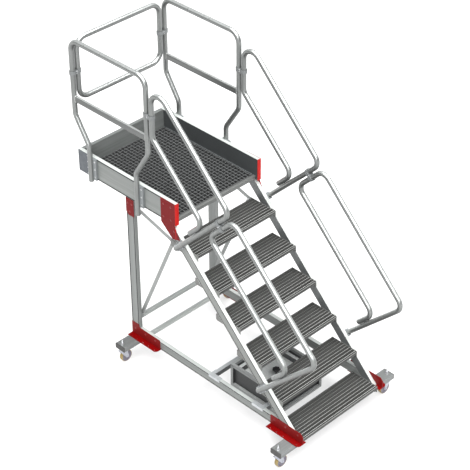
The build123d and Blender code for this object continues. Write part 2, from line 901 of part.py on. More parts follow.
hook_top = base_beam_top + box_hook_thickness
for rear, hook_rear in (
    (-box_front, -box_front - box_bar_width + box_hook_length),
    (-box_rear + box_bar_width, -box_rear + box_bar_width),
):
    bar = block(
        (-inner_face, rear - box_bar_width, base_beam_top - box_bar_height),
        (inner_face, rear, base_beam_top),
    )
    # A plate on the base beam with a lip over its outer face carries each end
    hook = block(
        (-outer_face - box_hook_thickness, hook_rear - box_hook_length, base_beam_top - box_hook_lip),
        (-outer_face, hook_rear, hook_top),
    )
    hook += block(
        (-outer_face, hook_rear - box_hook_length, base_beam_top), (-inner_face, hook_rear, hook_top)
    )
    hook += block(
        (-inner_face, rear - box_bar_width, base_beam_top), (-inner_face + box_hook_tab, rear, hook_top)
    )
    bars.append(bar + hook + mirror(hook, Plane.YZ))
nodes["box_cross_bars"] = Compound(children=[s for bar in bars for s in bar.solids()])
weight_top = box_bottom + box_sheet + ballast_height
spindle_top = pan_level + knob_rise
knob = Pos(0, 0, weight_top) * Cylinder(
    spindle_diameter / 2, spindle_top - weight_top, align=(Align.CENTER, Align.CENTER, Align.MIN)
)
knob += Pos(0, 0, spindle_top) * Cylinder(
    knob_diameter / 2, knob_height, align=(Align.CENTER, Align.CENTER, Align.MIN)
)
nodes["ballast_knob"] = box_middle * knob

# The origin: on the floor, midway between the foremost and rearmost points
boxes = [shape.bounding_box() for shape in nodes.values()]
front_reach = min(box.min.Y for box in boxes)
rear_reach = max(box.max.Y for box in boxes)
middle = (front_reach + rear_reach) / 2
print("front edge of the platform at y =", -middle)
for name, shape in nodes.items():
    export_step(Pos(0, -middle, 0) * shape, f"parts/{name}.step")
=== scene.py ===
import math

import bpy
import numpy as np
from mathutils import Matrix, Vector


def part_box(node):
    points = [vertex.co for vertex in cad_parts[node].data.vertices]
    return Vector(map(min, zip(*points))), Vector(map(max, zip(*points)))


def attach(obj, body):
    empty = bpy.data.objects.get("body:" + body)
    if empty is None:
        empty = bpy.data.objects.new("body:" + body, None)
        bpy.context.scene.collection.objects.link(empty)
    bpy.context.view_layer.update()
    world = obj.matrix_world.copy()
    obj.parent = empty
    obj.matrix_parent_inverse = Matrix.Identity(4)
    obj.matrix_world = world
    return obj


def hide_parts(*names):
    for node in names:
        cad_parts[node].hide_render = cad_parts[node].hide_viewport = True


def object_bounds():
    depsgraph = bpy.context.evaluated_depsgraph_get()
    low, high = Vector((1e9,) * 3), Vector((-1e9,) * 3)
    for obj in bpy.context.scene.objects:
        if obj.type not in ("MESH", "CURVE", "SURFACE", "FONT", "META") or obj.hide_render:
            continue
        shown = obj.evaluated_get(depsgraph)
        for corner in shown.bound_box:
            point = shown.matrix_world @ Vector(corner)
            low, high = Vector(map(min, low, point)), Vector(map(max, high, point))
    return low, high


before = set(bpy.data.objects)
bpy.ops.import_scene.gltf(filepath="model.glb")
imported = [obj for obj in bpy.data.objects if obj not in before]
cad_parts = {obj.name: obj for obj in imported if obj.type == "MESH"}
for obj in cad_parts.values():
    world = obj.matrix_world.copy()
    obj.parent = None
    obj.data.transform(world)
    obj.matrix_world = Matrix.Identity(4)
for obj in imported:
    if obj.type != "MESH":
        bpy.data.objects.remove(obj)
cad_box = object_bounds()

# The eye looks down on the ladder from its front left, higher than the guard rail, through a long lens.
# Its place, roll and lens were fitted to the object's own corners, in a picture 470 pixels square.
picture = 470
focus_pixels = 1565.67
middle_pixel = (232.98, 236.26)
eye_place = np.array([-6.5537, -6.6094, 7.8498])
eye_target = np.array([0.0, 0.0242, 1.2073])
eye_roll = -0.0046
sensor = 36.0
ahead = (eye_target - eye_place) / np.linalg.norm(eye_target - eye_place)
right = np.cross(ahead, [0, 0, 1.0])
right /= np.linalg.norm(right)
up = np.cross(right, ahead)
rolled_right = math.cos(eye_roll) * right + math.sin(eye_roll) * up
rolled_up = math.cos(eye_roll) * up - math.sin(eye_roll) * right
lens = bpy.data.cameras.new("photo_camera")
lens.sensor_width = sensor
lens.lens = focus_pixels * sensor / picture
lens.shift_x = (picture / 2 - middle_pixel[0]) / picture
lens.shift_y = (middle_pixel[1] - picture / 2) / picture
eye = bpy.data.objects.new("photo_camera", lens)
bpy.context.scene.collection.objects.link(eye)
turned_eye = np.eye(4)
turned_eye[:3] = np.stack([rolled_right, rolled_up, -ahead, eye_place], 1)
eye.matrix_world = Matrix(turned_eye)
bpy.context.scene.camera = eye
bpy.context.scene.view_settings.view_transform = "Standard"

# A pale seamless floor, lit from inside like a light table, carries the ladder. One broad soft lamp nearly
# overhead turns level faces white, a weaker one at the front left rounds the upright tubes, and an even weak
# sky fills the shadows.
floor_reach = 40.0
floor_colour = (0.38, 0.38, 0.38, 1)
floor_glow = 0.55
sky_colour = (0.93, 0.97, 1.0, 1)
sky_strength = 0.12
lamp_distance = 5.0
lamps = (
    # name, direction towards it, strength, width as an angle in degrees
    ("overhead", (-0.10, -0.22, 1.0), 8.5, 75),
    ("front_left", (-0.62, -0.70, 0.36), 1.7, 30),
)


def feed(node, inputs):
    """Sets a node's inputs: by a link where the value is another node's output, else to the value."""
    for key, value in inputs.items():
        if isinstance(value, bpy.types.NodeSocket):
            node.id_data.links.new(value, node.inputs[key])
        else:
            node.inputs[key].default_value = value
    return node


corners = floor_reach * np.array([(-1, -1), (1, -1), (1, 1), (-1, 1)])
floor_points = np.column_stack([corners, np.full(4, cad_box[0][2])])
floor_mesh = bpy.data.meshes.new("floor")
floor_mesh.from_pydata(floor_points.tolist(), [], [(0, 1, 2, 3)])
floor = bpy.data.objects.new("floor", floor_mesh)
bpy.context.scene.collection.objects.link(floor)
floor_matter = bpy.data.materials.new("floor_matt")
floor_matter.use_nodes = True
feed(floor_matter.node_tree.nodes["Principled BSDF"], {
    "Base Color": floor_colour, "Roughness": 0.9, "Specular IOR Level": 0.1,
    "Emission Color": (1, 1, 1, 1), "Emission Strength": floor_glow,
})
floor_mesh.materials.append(floor_matter)
sky = bpy.data.worlds.new("sky")
sky.use_nodes = True
feed(sky.node_tree.nodes["Background"], {"Color": sky_colour, "Strength": sky_strength})
bpy.context.scene.world = sky
for name, way, strength, width in lamps:
    light = bpy.data.lights.new(name, "SUN")
    light.energy = strength
    light.angle = math.radians(width)
    lamp = bpy.data.objects.new(name, light)
    bpy.context.scene.collection.objects.link(lamp)
    back = np.array(way) / np.linalg.norm(way)
    aside = np.cross([0, 1.0, 0], back)
    aside /= np.linalg.norm(aside)
    turned_lamp = np.eye(4)
    turned_lamp[:3] = np.stack([aside, np.cross(back, aside), back, lamp_distance * back], 1)
    lamp.matrix_world = Matrix(turned_lamp)

# Base beams: two hollow aluminium extrusions near the floor, one a side. Each is sawn at a slant in front,
# where it is welded to the back of the stringer's foot. They keep the long streaks of the press, and a
# plastic plug closes the rear end.
sides = ((-1, "left"), (1, "right"))
beam_tones = (0.60, 0.63, 0.61), (0.50, 0.53, 0.51)
# Painted shade: the share of the colour kept where a face looks down and where it looks sideways.
beam_painted_shade = (0.2, 0.37)
painted_shade_stops = 0, 0.68, 0.88
mill_metal = 0.35
mill_rough = (0.34, 0.5)
streak_size = 55.0
streak_length = 40.0
streak_lift = 0.00006
# Painted shade: a dark tone laid over each groove in the profiles' outer faces.
groove_painted_shade = (0.010, 0.013, 0.0125)
groove_inset = 0.008
groove_half = 0.0042
inner_face, outer_face = 0.400, 0.430
groove_floor = 0.428
outer_skin = (0.4275, 0.4302)
profile_edge = 0.0008
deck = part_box("platform_front_edge")[1][2]
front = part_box("platform_front_edge")[0][1]
slant = math.sqrt(0.5)
stringer_setback, stringer_depth = 0.054, 0.075
slope_high = (deck - stringer_setback - front) * slant
plug_tones = (0.05, 0.052, 0.055), (0.03, 0.032, 0.034)
plug_depth = 0.0025
plug_edge = 0.001
plug_round = 0.0015
plug_top_share = 0.96


def wired(tree, kind, out, inputs, **settings):
    """One output of a new node. Its settings are made first, because they decide which inputs it has."""
    node = tree.nodes.new("ShaderNode" + kind)
    for key, value in settings.items():
        setattr(node, key, value)
    return feed(node, inputs).outputs[out]


def worn_and_shaded(name, tones, rough, metal=0.0, size=60.0, along=(1, 1, 1), tilt=0.0, lift=0.0, painted_bands=(), shade=None):
    """A finish between two tones, light and dark, and two roughnesses, set by one noise on object
    coordinates. along stretches the noise and tilt turns it about X; lift is the height in metres that the
    noise gives the surface. Each painted band (colour, ranges) is painted light or shade: it colours what
    lies
    in all its ranges: x is the distance from the middle plane, y and z are as they stand, and slope is the
    distance square to the slope, (z - y) / 2 ** 0.5. shade is painted shade: it gives the share of the colour
    left where the surface looks straight down and where it looks sideways; it is all there where the surface
    looks up."""
    light, dark = [(*tone, 1) for tone in tones]
    matter = bpy.data.materials.new(name)
    matter.use_nodes = True
    tree = matter.node_tree
    place = wired(tree, "TexCoord", "Object", {})
    stretch = {"Vector": place, "Rotation": (tilt, 0, 0), "Scale": along}
    stretched = wired(tree, "Mapping", "Vector", stretch, vector_type="TEXTURE")
    noise = wired(tree, "TexNoise", "Fac", {"Vector": stretched, "Scale": size, "Detail": 5})
    spread = wired(tree, "MapRange", "Result", {"Value": noise, "From Min": 0.3, "From Max": 0.7})
    dull = wired(tree, "MapRange", "Result", {"Value": spread, "To Min": rough[1], "To Max": rough[0]})
    painted = wired(tree, "Mix", "Result", {"Factor": spread, "A": dark, "B": light}, data_type="RGBA")
    if painted_bands:
        measures = {axis.lower(): wired(tree, "SeparateXYZ", axis, {"Vector": place}) for axis in "XYZ"}
        measures["x"] = wired(tree, "Math", "Value", {0: measures["x"]}, operation="ABSOLUTE")
        square = {0: place, 1: (0, -slant, slant)}
        measures["slope"] = wired(tree, "VectorMath", "Value", square, operation="DOT_PRODUCT")
    # Painted light and shade: each band lays a flat tone over its ranges.
    for tone, ranges in painted_bands:
        share = 1
        for axis, (low, high) in ranges.items():
            span = {0: measures[axis], 1: (low + high) / 2, 2: (high - low) / 2}
            within = wired(tree, "Math", "Value", span, operation="COMPARE")
            share = wired(tree, "Math", "Value", {0: within, 1: share}, operation="MULTIPLY")
        mix = {"Factor": share, "A": painted, "B": (*tone, 1)}
        painted = wired(tree, "Mix", "Result", mix, data_type="RGBA")
    # Painted shade: a ramp on the surface's normal darkens the colour where it looks sideways and down.
    if shade is not None:
        facing = wired(tree, "SeparateXYZ", "Z", {"Vector": place.node.outputs["Normal"]})
        height = wired(tree, "MapRange", "Result", {"Value": facing, "From Min": -1})
        left = wired(tree, "ValToRGB", "Color", {"Fac": height})
        ramp = left.node.color_ramp
        ramp.interpolation = "EASE"
        ramp.elements.new(0.5)
        for stop, position, share in zip(ramp.elements, painted_shade_stops, (*shade, 1)):
            stop.position = position
            stop.color = (share, share, share, 1)
        painted = wired(tree, "VectorMath", "Vector", {0: painted, 1: left}, operation="MULTIPLY")
    shader = feed(
        tree.nodes["Principled BSDF"], {"Base Color": painted, "Metallic": metal, "Roughness": dull}
    )
    if lift:
        feed(shader, {"Normal": wired(tree, "Bump", "Normal", {"Distance": lift, "Height": noise})})
    return matter


def streaked_and_shaded(name, tones, way, metal=mill_metal, tilt=0.0, painted_bands=(), shade=None):
    """A mill finish: the long streaks of the press run along x, y or z, where the noise is stretched.
    Any painted band and the painted shade pass on as they are given.
    """
    along = [streak_length if axis == way else 1 for axis in "xyz"]
    return worn_and_shaded(name, tones, mill_rough, metal, streak_size, along, tilt, streak_lift, painted_bands, shade)


def dress(matter, *names):
    """Puts a finish on CAD nodes whose shape is right as it is."""
    for name in names:
        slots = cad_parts[name].data.materials
        slots.clear()
        slots.append(matter)


def shell(rows, loop=False):
    """A closed skin through rows of points (rows, around, 3), each row joined to the next and to itself.
    The end rows are filled by a face, or joined to each other in a loop. Where the signed volume, the sum
    of a.(b x c) / 6 over its triangles, is negative, all faces are turned over."""
    rows = np.asarray(rows, float)
    count, around = rows.shape[:2]
    index = np.arange(count * around).reshape(count, around)
    low = index if loop else index[:-1]
    high = np.roll(index, -1, 0) if loop else index[1:]
    quads = np.stack([low, np.roll(low, -1, 1), np.roll(high, -1, 1), high], -1).reshape(-1, 4)
    ends = [] if loop else [index[0, ::-1], index[-1]]
    points = rows.reshape(-1, 3)
    fans = [np.stack([e[:1].repeat(around - 2), e[1:-1], e[2:]], 1) for e in ends]
    a, b, c = points[np.concatenate([quads[:, :3], quads[:, [0, 2, 3]], *fans])].transpose(1, 0, 2)
    faces = [*quads.tolist(), *(e.tolist() for e in ends)]
    if np.einsum("ij,ij->", a, np.cross(b, c)) < 0:
        faces = [face[::-1] for face in faces]
    return points, faces


def placed(part, origin, u, v):
    """A part drawn along u, v and u x v, moved to its origin in the row frame."""
    axes = np.array([u, v, np.cross(u, v)], float)
    return np.asarray(origin, float) + part[0] @ axes, part[1]


def piece(name, parts, matter, body="frame", replaces=(), bevel=0.0, crease=35):
    """One mesh of many closed parts, on a body, with its finish. Edges sharper than crease degrees stay
    crisp, and bevel rounds them by so many metres."""
    starts = np.cumsum([0] + [len(part[0]) for part in parts])
    faces = [[i + start for i in face] for part, start in zip(parts, starts) for face in part[1]]
    mesh = bpy.data.meshes.new(name)
    mesh.from_pydata(np.concatenate([part[0] for part in parts]).tolist(), [], faces)
    mesh.shade_smooth()
    mesh.set_sharp_from_angle(angle=math.radians(crease))
    mesh.materials.append(matter)
    made = bpy.data.objects.new(name, mesh)
    bpy.context.scene.collection.objects.link(made)
    if bevel:
        rounding = made.modifiers.new("edges", "BEVEL")
        rounding.width = bevel
        rounding.segments = 2
        rounding.limit_method = "ANGLE"
        rounding.angle_limit = math.radians(crease)
    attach(made, body)
    if replaces:
        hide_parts(*replaces)
    return made


def rounded(width, height, radius, steps=4):
    """The outline of a rectangle with quarter circles at its corners, counter-clockwise about its middle."""
    angle = np.linspace(0, math.pi / 2, steps)
    quarter = radius * np.stack([np.cos(angle), np.sin(angle)], 1)
    reach = np.array([width / 2 - radius, height / 2 - radius])
    flip = np.array([(1, 1), (-1, 1), (-1, -1), (1, -1)])
    corner = [reach * f + (quarter if k % 2 == 0 else quarter[::-1]) * f for k, f in enumerate(flip)]
    return np.concatenate(corner)


def slab(outline, levels):
    """A flat part: an outline (around, 2) at each level (w, share), scaled by the share about its middle."""
    outline = np.asarray(outline, float)
    middle = (outline.min(0) + outline.max(0)) / 2
    w, share = np.array(levels, float).T[:, :, None]
    flat = middle + (outline - middle) * share[:, :, None]
    return shell(np.concatenate([flat, np.broadcast_to(w[:, :, None], (*flat.shape[:2], 1))], 2))


def grooves(axis, low, high):
    """The painted shade over the two grooves in a profile's outer face, which spans low to high on this axis.
    """
    middles = low + groove_inset, high - groove_inset
    return [(groove_painted_shade, {"x": outer_skin, axis: (m - groove_half, m + groove_half)}) for m in middles]


def grooved_line(low, high):
    """The section (x, across) of a profile that spans low to high, with two grooves in its outer face."""
    line = [(inner_face, low), (outer_face, low)]
    for middle in (low + groove_inset, high - groove_inset):
        near, far = middle - groove_half, middle + groove_half
        line += [(outer_face, near), (groove_floor, near), (groove_floor, far), (outer_face, far)]
    return np.array(line + [(outer_face, high), (inner_face, high)])


beam_low, beam_high = np.array(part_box("base_beam_left"))
beam_groove_shade = grooves("z", beam_low[2], beam_high[2])
beam_matter = streaked_and_shaded("base_beam_mill", beam_tones, "y", painted_bands=beam_groove_shade, shade=beam_painted_shade)
plug_matter = worn_and_shaded("end_plug_plastic", plug_tones, (0.45, 0.6), size=900.0, lift=0.00008)
plugs = []
x, z = grooved_line(beam_low[2], beam_high[2]).T
foot_back = z - (slope_high - stringer_depth) / slant
outline = rounded(beam_high[0] - beam_low[0], beam_high[2] - beam_low[2], plug_round)
plug = slab(outline, ((0, 1), (plug_depth - plug_edge, 1), (plug_depth, plug_top_share)))
for side, name in sides:
    rows = [np.column_stack([side * x, y, z]) for y in (foot_back, np.full(len(z), beam_high[1]))]
    piece(
        f"base_beam_profile_{name}", [shell(rows)], beam_matter,
        replaces=[f"base_beam_{name}"], bevel=profile_edge,
    )
    middle = (side * (inner_face + outer_face) / 2, beam_high[1], (beam_low[2] + beam_high[2]) / 2)
    plugs.append(placed(plug, middle, (-1, 0, 0), (0, 0, 1)))
piece("base_beam_plugs", plugs, plug_matter)

# Legs and cross bars: two upright aluminium extrusions under the platform, tied by two square tubes that
# are welded to their inner faces all round.
leg_tones = (0.215, 0.225, 0.22), (0.175, 0.185, 0.18)
bar_tones = (0.40, 0.42, 0.41), (0.31, 0.33, 0.32)
bead_tones = (0.58, 0.59, 0.58), (0.40, 0.41, 0.40)
bead_radius = 0.0024
bead_pitch = 0.004
bead_ripple = 0.14
bar_round = 0.003


def bead(path, normal, radius=bead_radius, closed=True, around=8):
    """A weld bead: a thin ring carried along a path (n, 3) whose plane has this normal. Its radius swells by
    the ripple share once every bead pitch of length."""
    path = np.asarray(path, float)
    step = np.roll(path, -1, 0) - path if closed else np.gradient(path, axis=0)
    length = np.concatenate([[0], np.cumsum(np.linalg.norm(np.diff(path, axis=0), axis=1))])
    along = (step + np.roll(step, 1, 0)) if closed else step
    along /= np.linalg.norm(along, axis=1)[:, None]
    side = np.cross(along, normal)
    side /= np.linalg.norm(side, axis=1)[:, None]
    swell = radius * (1 + bead_ripple * np.sin(2 * math.pi * length / bead_pitch))
    angle = np.arange(around) * 2 * math.pi / around
    across, up = np.cos(angle)[None, :, None], np.sin(angle)[None, :, None]
    ring = across * side[:, None] + up * np.cross(side, along)[:, None]
    return shell(path[:, None] + ring * swell[:, None, None], loop=closed)


def dense(path, spacing, closed=True):
    """The same path with points at even steps of about this spacing, by straight interpolation."""
    path = np.asarray(path, float)
    if closed:
        path = np.concatenate([path, path[:1]])
    length = np.concatenate([[0], np.cumsum(np.linalg.norm(np.diff(path, axis=0), axis=1))])
    places = np.linspace(0, length[-1], max(int(length[-1] / spacing), 2) + 1)
    if closed:
        places = places[:-1]
    return np.stack([np.interp(places, length, path[:, k]) for k in range(3)], 1)


leg_low, leg_high = np.array(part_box("leg_left"))
# The leg's grooves carry the same painted shade.
leg_matter = streaked_and_shaded("leg_mill", leg_tones, "z", painted_bands=grooves("y", leg_low[1], leg_high[1]))
bar_matter = streaked_and_shaded("cross_bar_mill", bar_tones, "x")
bead_matter = worn_and_shaded("weld_bead", bead_tones, (0.3, 0.5), metal=0.6, size=700.0)
dress(leg_matter, "leg_left", "leg_right")
dress(bar_matter, "leg_cross_bar", "base_cross_bar")
bar_welds = []
for name in ("leg_cross_bar", "base_cross_bar"):
    low, high = np.array(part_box(name))
    square_line = rounded(high[1] - low[1], high[2] - low[2], bar_round)
    for end, way in ((low[0], 1), (high[0], -1)):
        ring = np.column_stack([np.full(len(square_line), end + way * bead_radius / 2), square_line])
        ring[:, 1:] += (low[1:] + high[1:]) / 2
        bar_welds.append(bead(dense(ring, bead_pitch / 4), (1, 0, 0)))
piece("cross_bar_welds", bar_welds, bead_matter)

# Stringers: the two sloping aluminium extrusions that carry the treads, sawn level at head and foot. The
# foot stands on the base bracket in front of the beam and is bolted to it. Both edges of the outer face have
# a groove, as on the beams.
stringer_tones = (0.64, 0.66, 0.64), (0.54, 0.56, 0.54)
# The inner face is painted darker as shade, and the grooves as on the beams.
stringer_inside_painted_shade = (0.36, 0.38, 0.38)
inner_skin = (0.0, 0.4006)
slope_low = slope_high - stringer_depth
stringer_painted_bands = [(stringer_inside_painted_shade, {"x": inner_skin}), *grooves("slope", slope_low, slope_high)]
stringer_matter = streaked_and_shaded(
    "stringer_mill", stringer_tones, "y", tilt=math.radians(45), painted_bands=stringer_painted_bands, shade=beam_painted_shade
)
stringer_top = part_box("stringer_left")[1][2]
x, across = grooved_line(slope_low, slope_high).T
for side, name in sides:
    levels = beam_low[2], stringer_top
    rows = [np.column_stack([side * x, z - across / slant, np.full(len(x), z)]) for z in levels]
    piece(
        f"stringer_profile_{name}", [shell(rows)], stringer_matter,
        replaces=[f"stringer_{name}"], bevel=profile_edge,
    )

# Treads: six wide aluminium planks, dark anodised, with foot ribs whose crests are scored twice and notched
# across, a grooved nose and a stiffened underside. A painted highlight lies on the ribs' front edges,
# brightest near the nose; the nose front is painted lighter, valleys and notches darker as shade, and dust
# lightens the rear.
# A cheek at each end is screwed to the stringer.
tread_count = 6
tread_rise = 0.213
tread_depth = 0.247
nose_height = 0.029
cheek_thickness = 0.004
cheek_height = 0.055
cheek_round = 0.002
cheek_cut = 0.010
brace_lug = 0.040
rib_height = 0.005
rib_pitch = 0.028
rib_start = 0.015
rib_width = 0.011
score_width = 0.0012
score_depth = 0.0010
crest_chamfer = 0.0006
notch_pitch = 0.016
notch_half = 0.0028
notch_depth = 0.0012
plank_thickness = 0.004
stiffener_places = (0.085, 0.165)
stiffener_depth = 0.014
stiffener_width = 0.003
nose_groove = 0.003
nose_round = 0.003
nose_land = 0.009
tread_tones = (0.62, 0.63, 0.61), (0.018, 0.018, 0.017)
noise_floor = 0.75
near = 0.0001
# Shares of the tread's light tone: a painted highlight on the ribs' front edges and the nose, a lighter
# painted nose front, painted shade in the valleys and notches, and dust towards the rear.
highlight_band = 0.0012
crest_zone = 0.0035
crest_share = 0.012
valley_shade_share = 0.01
nose_face_light = 0.12
cheek_share = 0.30
highlight_bright = 0.75
highlight_least = 0.24
nose_edge_highlight = 0.4
dust_share = 0.05
highlight_reach = 0.190
screw_tones = (0.55, 0.56, 0.56), (0.38, 0.39, 0.40)
cheek_screws = ((0.060, -0.034), (0.185, -0.034))
cheek_screw_size = 0.008
dome_shares = 0.9, 0.55
socket_shares = (0.33, 0.5, 1), (0.31, 0.2, 1)
washer_shares = (1.12, 0), (1.12, 0.12), (1.08, 0.16)
hexagon_shares = (0.931, 0.15), (0.98, 0.25, 1), (0.98, 0.65, 1), (0.833, 0.75)
bolt_end_shares = (0.5, 0.75), (0.5, 1.0), (0.42, 1.1)


def turned(profile, steps=24, size=1.0):
    """A part turned about w: each (radius, height, hex) is a ring, round at hex 0 and six-sided at hex 1,
    where radius reaches the corners: r(a) = radius * cos(30) / cos(a mod 60 - 30). Radius and height are
    shares of the size."""
    rings = np.array([(*ring, 0)[:3] for ring in profile], float) * (size, size, 1)
    angle = np.arange(steps) * 2 * math.pi / steps
    sixth = math.pi / 3
    six = math.cos(sixth / 2) / np.cos(np.mod(angle, sixth) - sixth / 2)
    radius = rings[:, :1] * (1 + rings[:, 2:] * (six - 1))
    rows = np.stack([radius * np.cos(angle), radius * np.sin(angle), rings[:, 1:2] + 0 * radius], -1)
    return shell(rows)


def socket_screw(size):
    """A screw with a domed head, along w, and a hexagonal socket; size is its thread. The dome's radius and
    height are its two shares times the cosine and sine of 0.15 to 1 radian."""
    wide, high = dome_shares
    dome = [(wide * math.cos(a), high * math.sin(a)) for a in np.linspace(0.15, 1.0, 5)]
    return turned([(wide, -0.1), *dome, *socket_shares], size=size)


def hex_bolt(size, nut=False):
    """A washer and a chamfered hexagon head along w; a nut has the bolt's end standing out of it. All are
    turned from shares of the thread's size."""
    washer = turned(washer_shares, size=size)
    body = turned(hexagon_shares + bolt_end_shares if nut else hexagon_shares, size=size)
    points = np.concatenate([washer[0], body[0]])
    return points, washer[1] + [[i + len(washer[0]) for i in face] for face in body[1]]


def faced(part, side, x, y, z, way=1):
    """A part on a face square to x, at this distance from the middle plane on one side of the ladder. It
    stands outwards, or inwards with way -1."""
    return placed(part, (side * x, y, z), (0, way * side, 0), (0, 0, 1))


def both_sides(part, spots, way=1):
    """The part at each (x, y, z) spot on the left side of the ladder, then at the same spots on the right."""
    return [faced(part, side, *spot, way) for side in (-1, 1) for spot in spots]


def rib_line():
    """The ribs' (depth, height) outline: a rib with two scored lines in its crest, repeated at the pitch
    up to the tail, where the last one is cut off."""
    land = (rib_width - 2 * score_width) / 3
    rib = [(0, -rib_height), (0, -crest_chamfer), (crest_chamfer, 0)]
    for k in (1, 2):
        edge = k * land + (k - 1) * score_width
        rib += [(edge, 0), (edge + score_width / 2, -score_depth), (edge + score_width, 0)]
    rib += [(rib_width - crest_chamfer, 0), (rib_width, -crest_chamfer), (rib_width, -rib_height)]
    count = int((tread_depth - rib_start) // rib_pitch) + 1
    starts = rib_start + rib_pitch * np.arange(count)
    line = (np.array(rib)[None] + np.stack([starts, 0 * starts], 1)[:, None]).reshape(-1, 2)
    inside = line[line[:, 0] < tread_depth - crest_chamfer]
    return np.concatenate([inside, [(tread_depth - crest_chamfer, 0), (tread_depth, -crest_chamfer)]])


def tread_section():
    """The plank's closed (depth, height) outline: nose, ribs, tail, then underside with its stiffeners."""
    middle = nose_height / 2
    nose = [(0, -nose_height), (0, -middle - nose_groove), (nose_groove, -middle - nose_groove / 2)]
    nose += [(nose_groove, -middle + nose_groove / 2), (0, -middle + nose_groove), (0, -1.5 * nose_round)]
    nose += [(0, -nose_round), (0.3 * nose_round, -0.3 * nose_round), (nose_round, 0), (nose_land, 0)]
    nose += [(nose_land, -rib_height)]
    under = -rib_height - plank_thickness
    wall = plank_thickness
    tail = [(tread_depth, -nose_height), (tread_depth - wall, -nose_height), (tread_depth - wall, under)]
    for place in stiffener_places[::-1]:
        foot = under - stiffener_depth
        for shift, level in ((1, under), (1, foot), (-1, foot), (-1, under)):
            tail.append((place + shift * stiffener_width / 2, level))
    tail += [(nose_groove + wall, under), (nose_groove + wall, -nose_height)]
    return np.concatenate([nose, rib_line(), tail])


tread_matter = worn_and_shaded(
    "tread_anodised", tread_tones, (0.45, 0.62), metal=0.1, size=300.0, along=(streak_length, 1, 1),
    lift=0.00008,
)
tree = tread_matter.node_tree
mixer = next(n for n in tree.nodes if n.type == "MIX")
noise = mixer.inputs["Factor"].links[0].from_socket
weighed = wired(tree, "MapRange", "Result", {"Value": noise, "To Min": noise_floor})
# The point attribute carries painted light and dust: rib edge highlights, valley shade and the lighter dust
# at the rear.
crest = wired(tree, "Attribute", "Fac", {}, attribute_name="painted_light_and_dust")
feed(mixer, {"Factor": wired(tree, "Math", "Value", {0: weighed, 1: crest}, operation="MULTIPLY")})
feed(tree.nodes["Principled BSDF"], {"Specular IOR Level": 0.15})
zinc_matter = worn_and_shaded("zinc_screws", screw_tones, (0.25, 0.45), metal=0.8, size=400.0)
cheek_screw = socket_screw(cheek_screw_size)
section = tread_section()
on_crest = (section[:, 0] >= rib_start) & (section[:, 1] > -1.5 * score_depth)
plank_end = inner_face - cheek_thickness
notches = np.arange(-plank_end + notch_pitch / 2, plank_end, notch_pitch)
stations = np.concatenate([(notches[:, None] + (-notch_half, 0, notch_half)).ravel(), [plank_end]])
stations = np.concatenate([[-plank_end], stations])
notched = np.isin(stations, notches)
tread_screws = []
for number in range(1, tread_count + 1):
    top = deck - number * tread_rise
    nose = front - number * tread_rise
    rows = np.empty((len(stations), len(section), 3))
    rows[:, :, 0] = stations[:, None]
    rows[:, :, 1] = nose + section[:, 0]
    rows[:, :, 2] = top + section[:, 1] - notch_depth * notched[:, None] * on_crest
    parts = [shell(rows)]
    tail = tread_depth + (brace_lug if number == 1 else 0)
    cheek = [(0, -cheek_height), (0, -cheek_round), (cheek_round, 0), (tail, 0)]
    cheek += [(tail, cheek_cut - cheek_height), (tail - cheek_cut, -cheek_height)]
    cheek = np.array(cheek) + (nose, top)
    for side in (-1, 1):
        rows = [np.column_stack([np.full(len(cheek), side * x), cheek]) for x in (plank_end, inner_face)]
        parts.append(shell(rows))
    spots = [(plank_end, nose + depth, top + drop) for depth, drop in cheek_screws]
    tread_screws += both_sides(cheek_screw, spots, -1)
    tread = piece(
        f"ribbed_tread_{number}", parts, tread_matter, replaces=[f"tread_{number}"],
        crease=20,
    )
    corner = np.empty(len(tread.data.vertices) * 3)
    tread.data.vertices.foreach_get("co", corner)
    x, depth, level = (np.reshape(corner, (-1, 3)) - (0, nose, top)).T
    # Painted light per point: a highlight on the ribs' front edges, brightest near the nose and less on the
    # nose, a lighter nose front, darker valleys and notches as shade, dust rising towards the rear, and the
    # cheeks' own tone.
    past = np.mod(depth - rib_start + near, rib_pitch)
    edge = np.where(depth < rib_start / 2, depth < highlight_band, past < highlight_band) & (level > -crest_zone)
    edge_highlight = highlight_bright * np.clip(1 - depth / highlight_reach, 0, 1) + highlight_least
    edge_highlight = np.where(depth < rib_start / 2, nose_edge_highlight * edge_highlight, edge_highlight)
    painted_tone_and_dust = np.where(level > -crest_zone, crest_share, valley_shade_share)
    painted_tone_and_dust += dust_share * np.clip(depth / tread_depth, 0, 1)
    painted_tone_and_dust = np.where((depth < near) & (level < -crest_zone), nose_face_light, painted_tone_and_dust)
    painted_light_and_dust = np.where(edge & (np.abs(x) < plank_end + near), edge_highlight, painted_tone_and_dust)
    sunk = np.flatnonzero(notched[:, None] & on_crest)
    painted_light_and_dust[sunk] = valley_shade_share
    painted_light_and_dust = np.where(np.abs(x) > inner_face - near, cheek_share, painted_light_and_dust)
    marks = tread.data.attributes.new("painted_light_and_dust", "FLOAT", "POINT")
    marks.data.foreach_set("value", painted_light_and_dust)
piece("tread_screws", tread_screws, zinc_matter)

# Platform boards: deep hollow aluminium extrusions that stand up as toe boards, with a ledge inside for the
# deck. The rear board is a plain one, and the rounded front profile is the top step's edge.
board_tones = (0.60, 0.63, 0.61), (0.50, 0.53, 0.51)
rear_board_tones = (0.20, 0.21, 0.205), (0.16, 0.17, 0.165)
edge_tones = (0.17, 0.175, 0.17), (0.13, 0.135, 0.13)
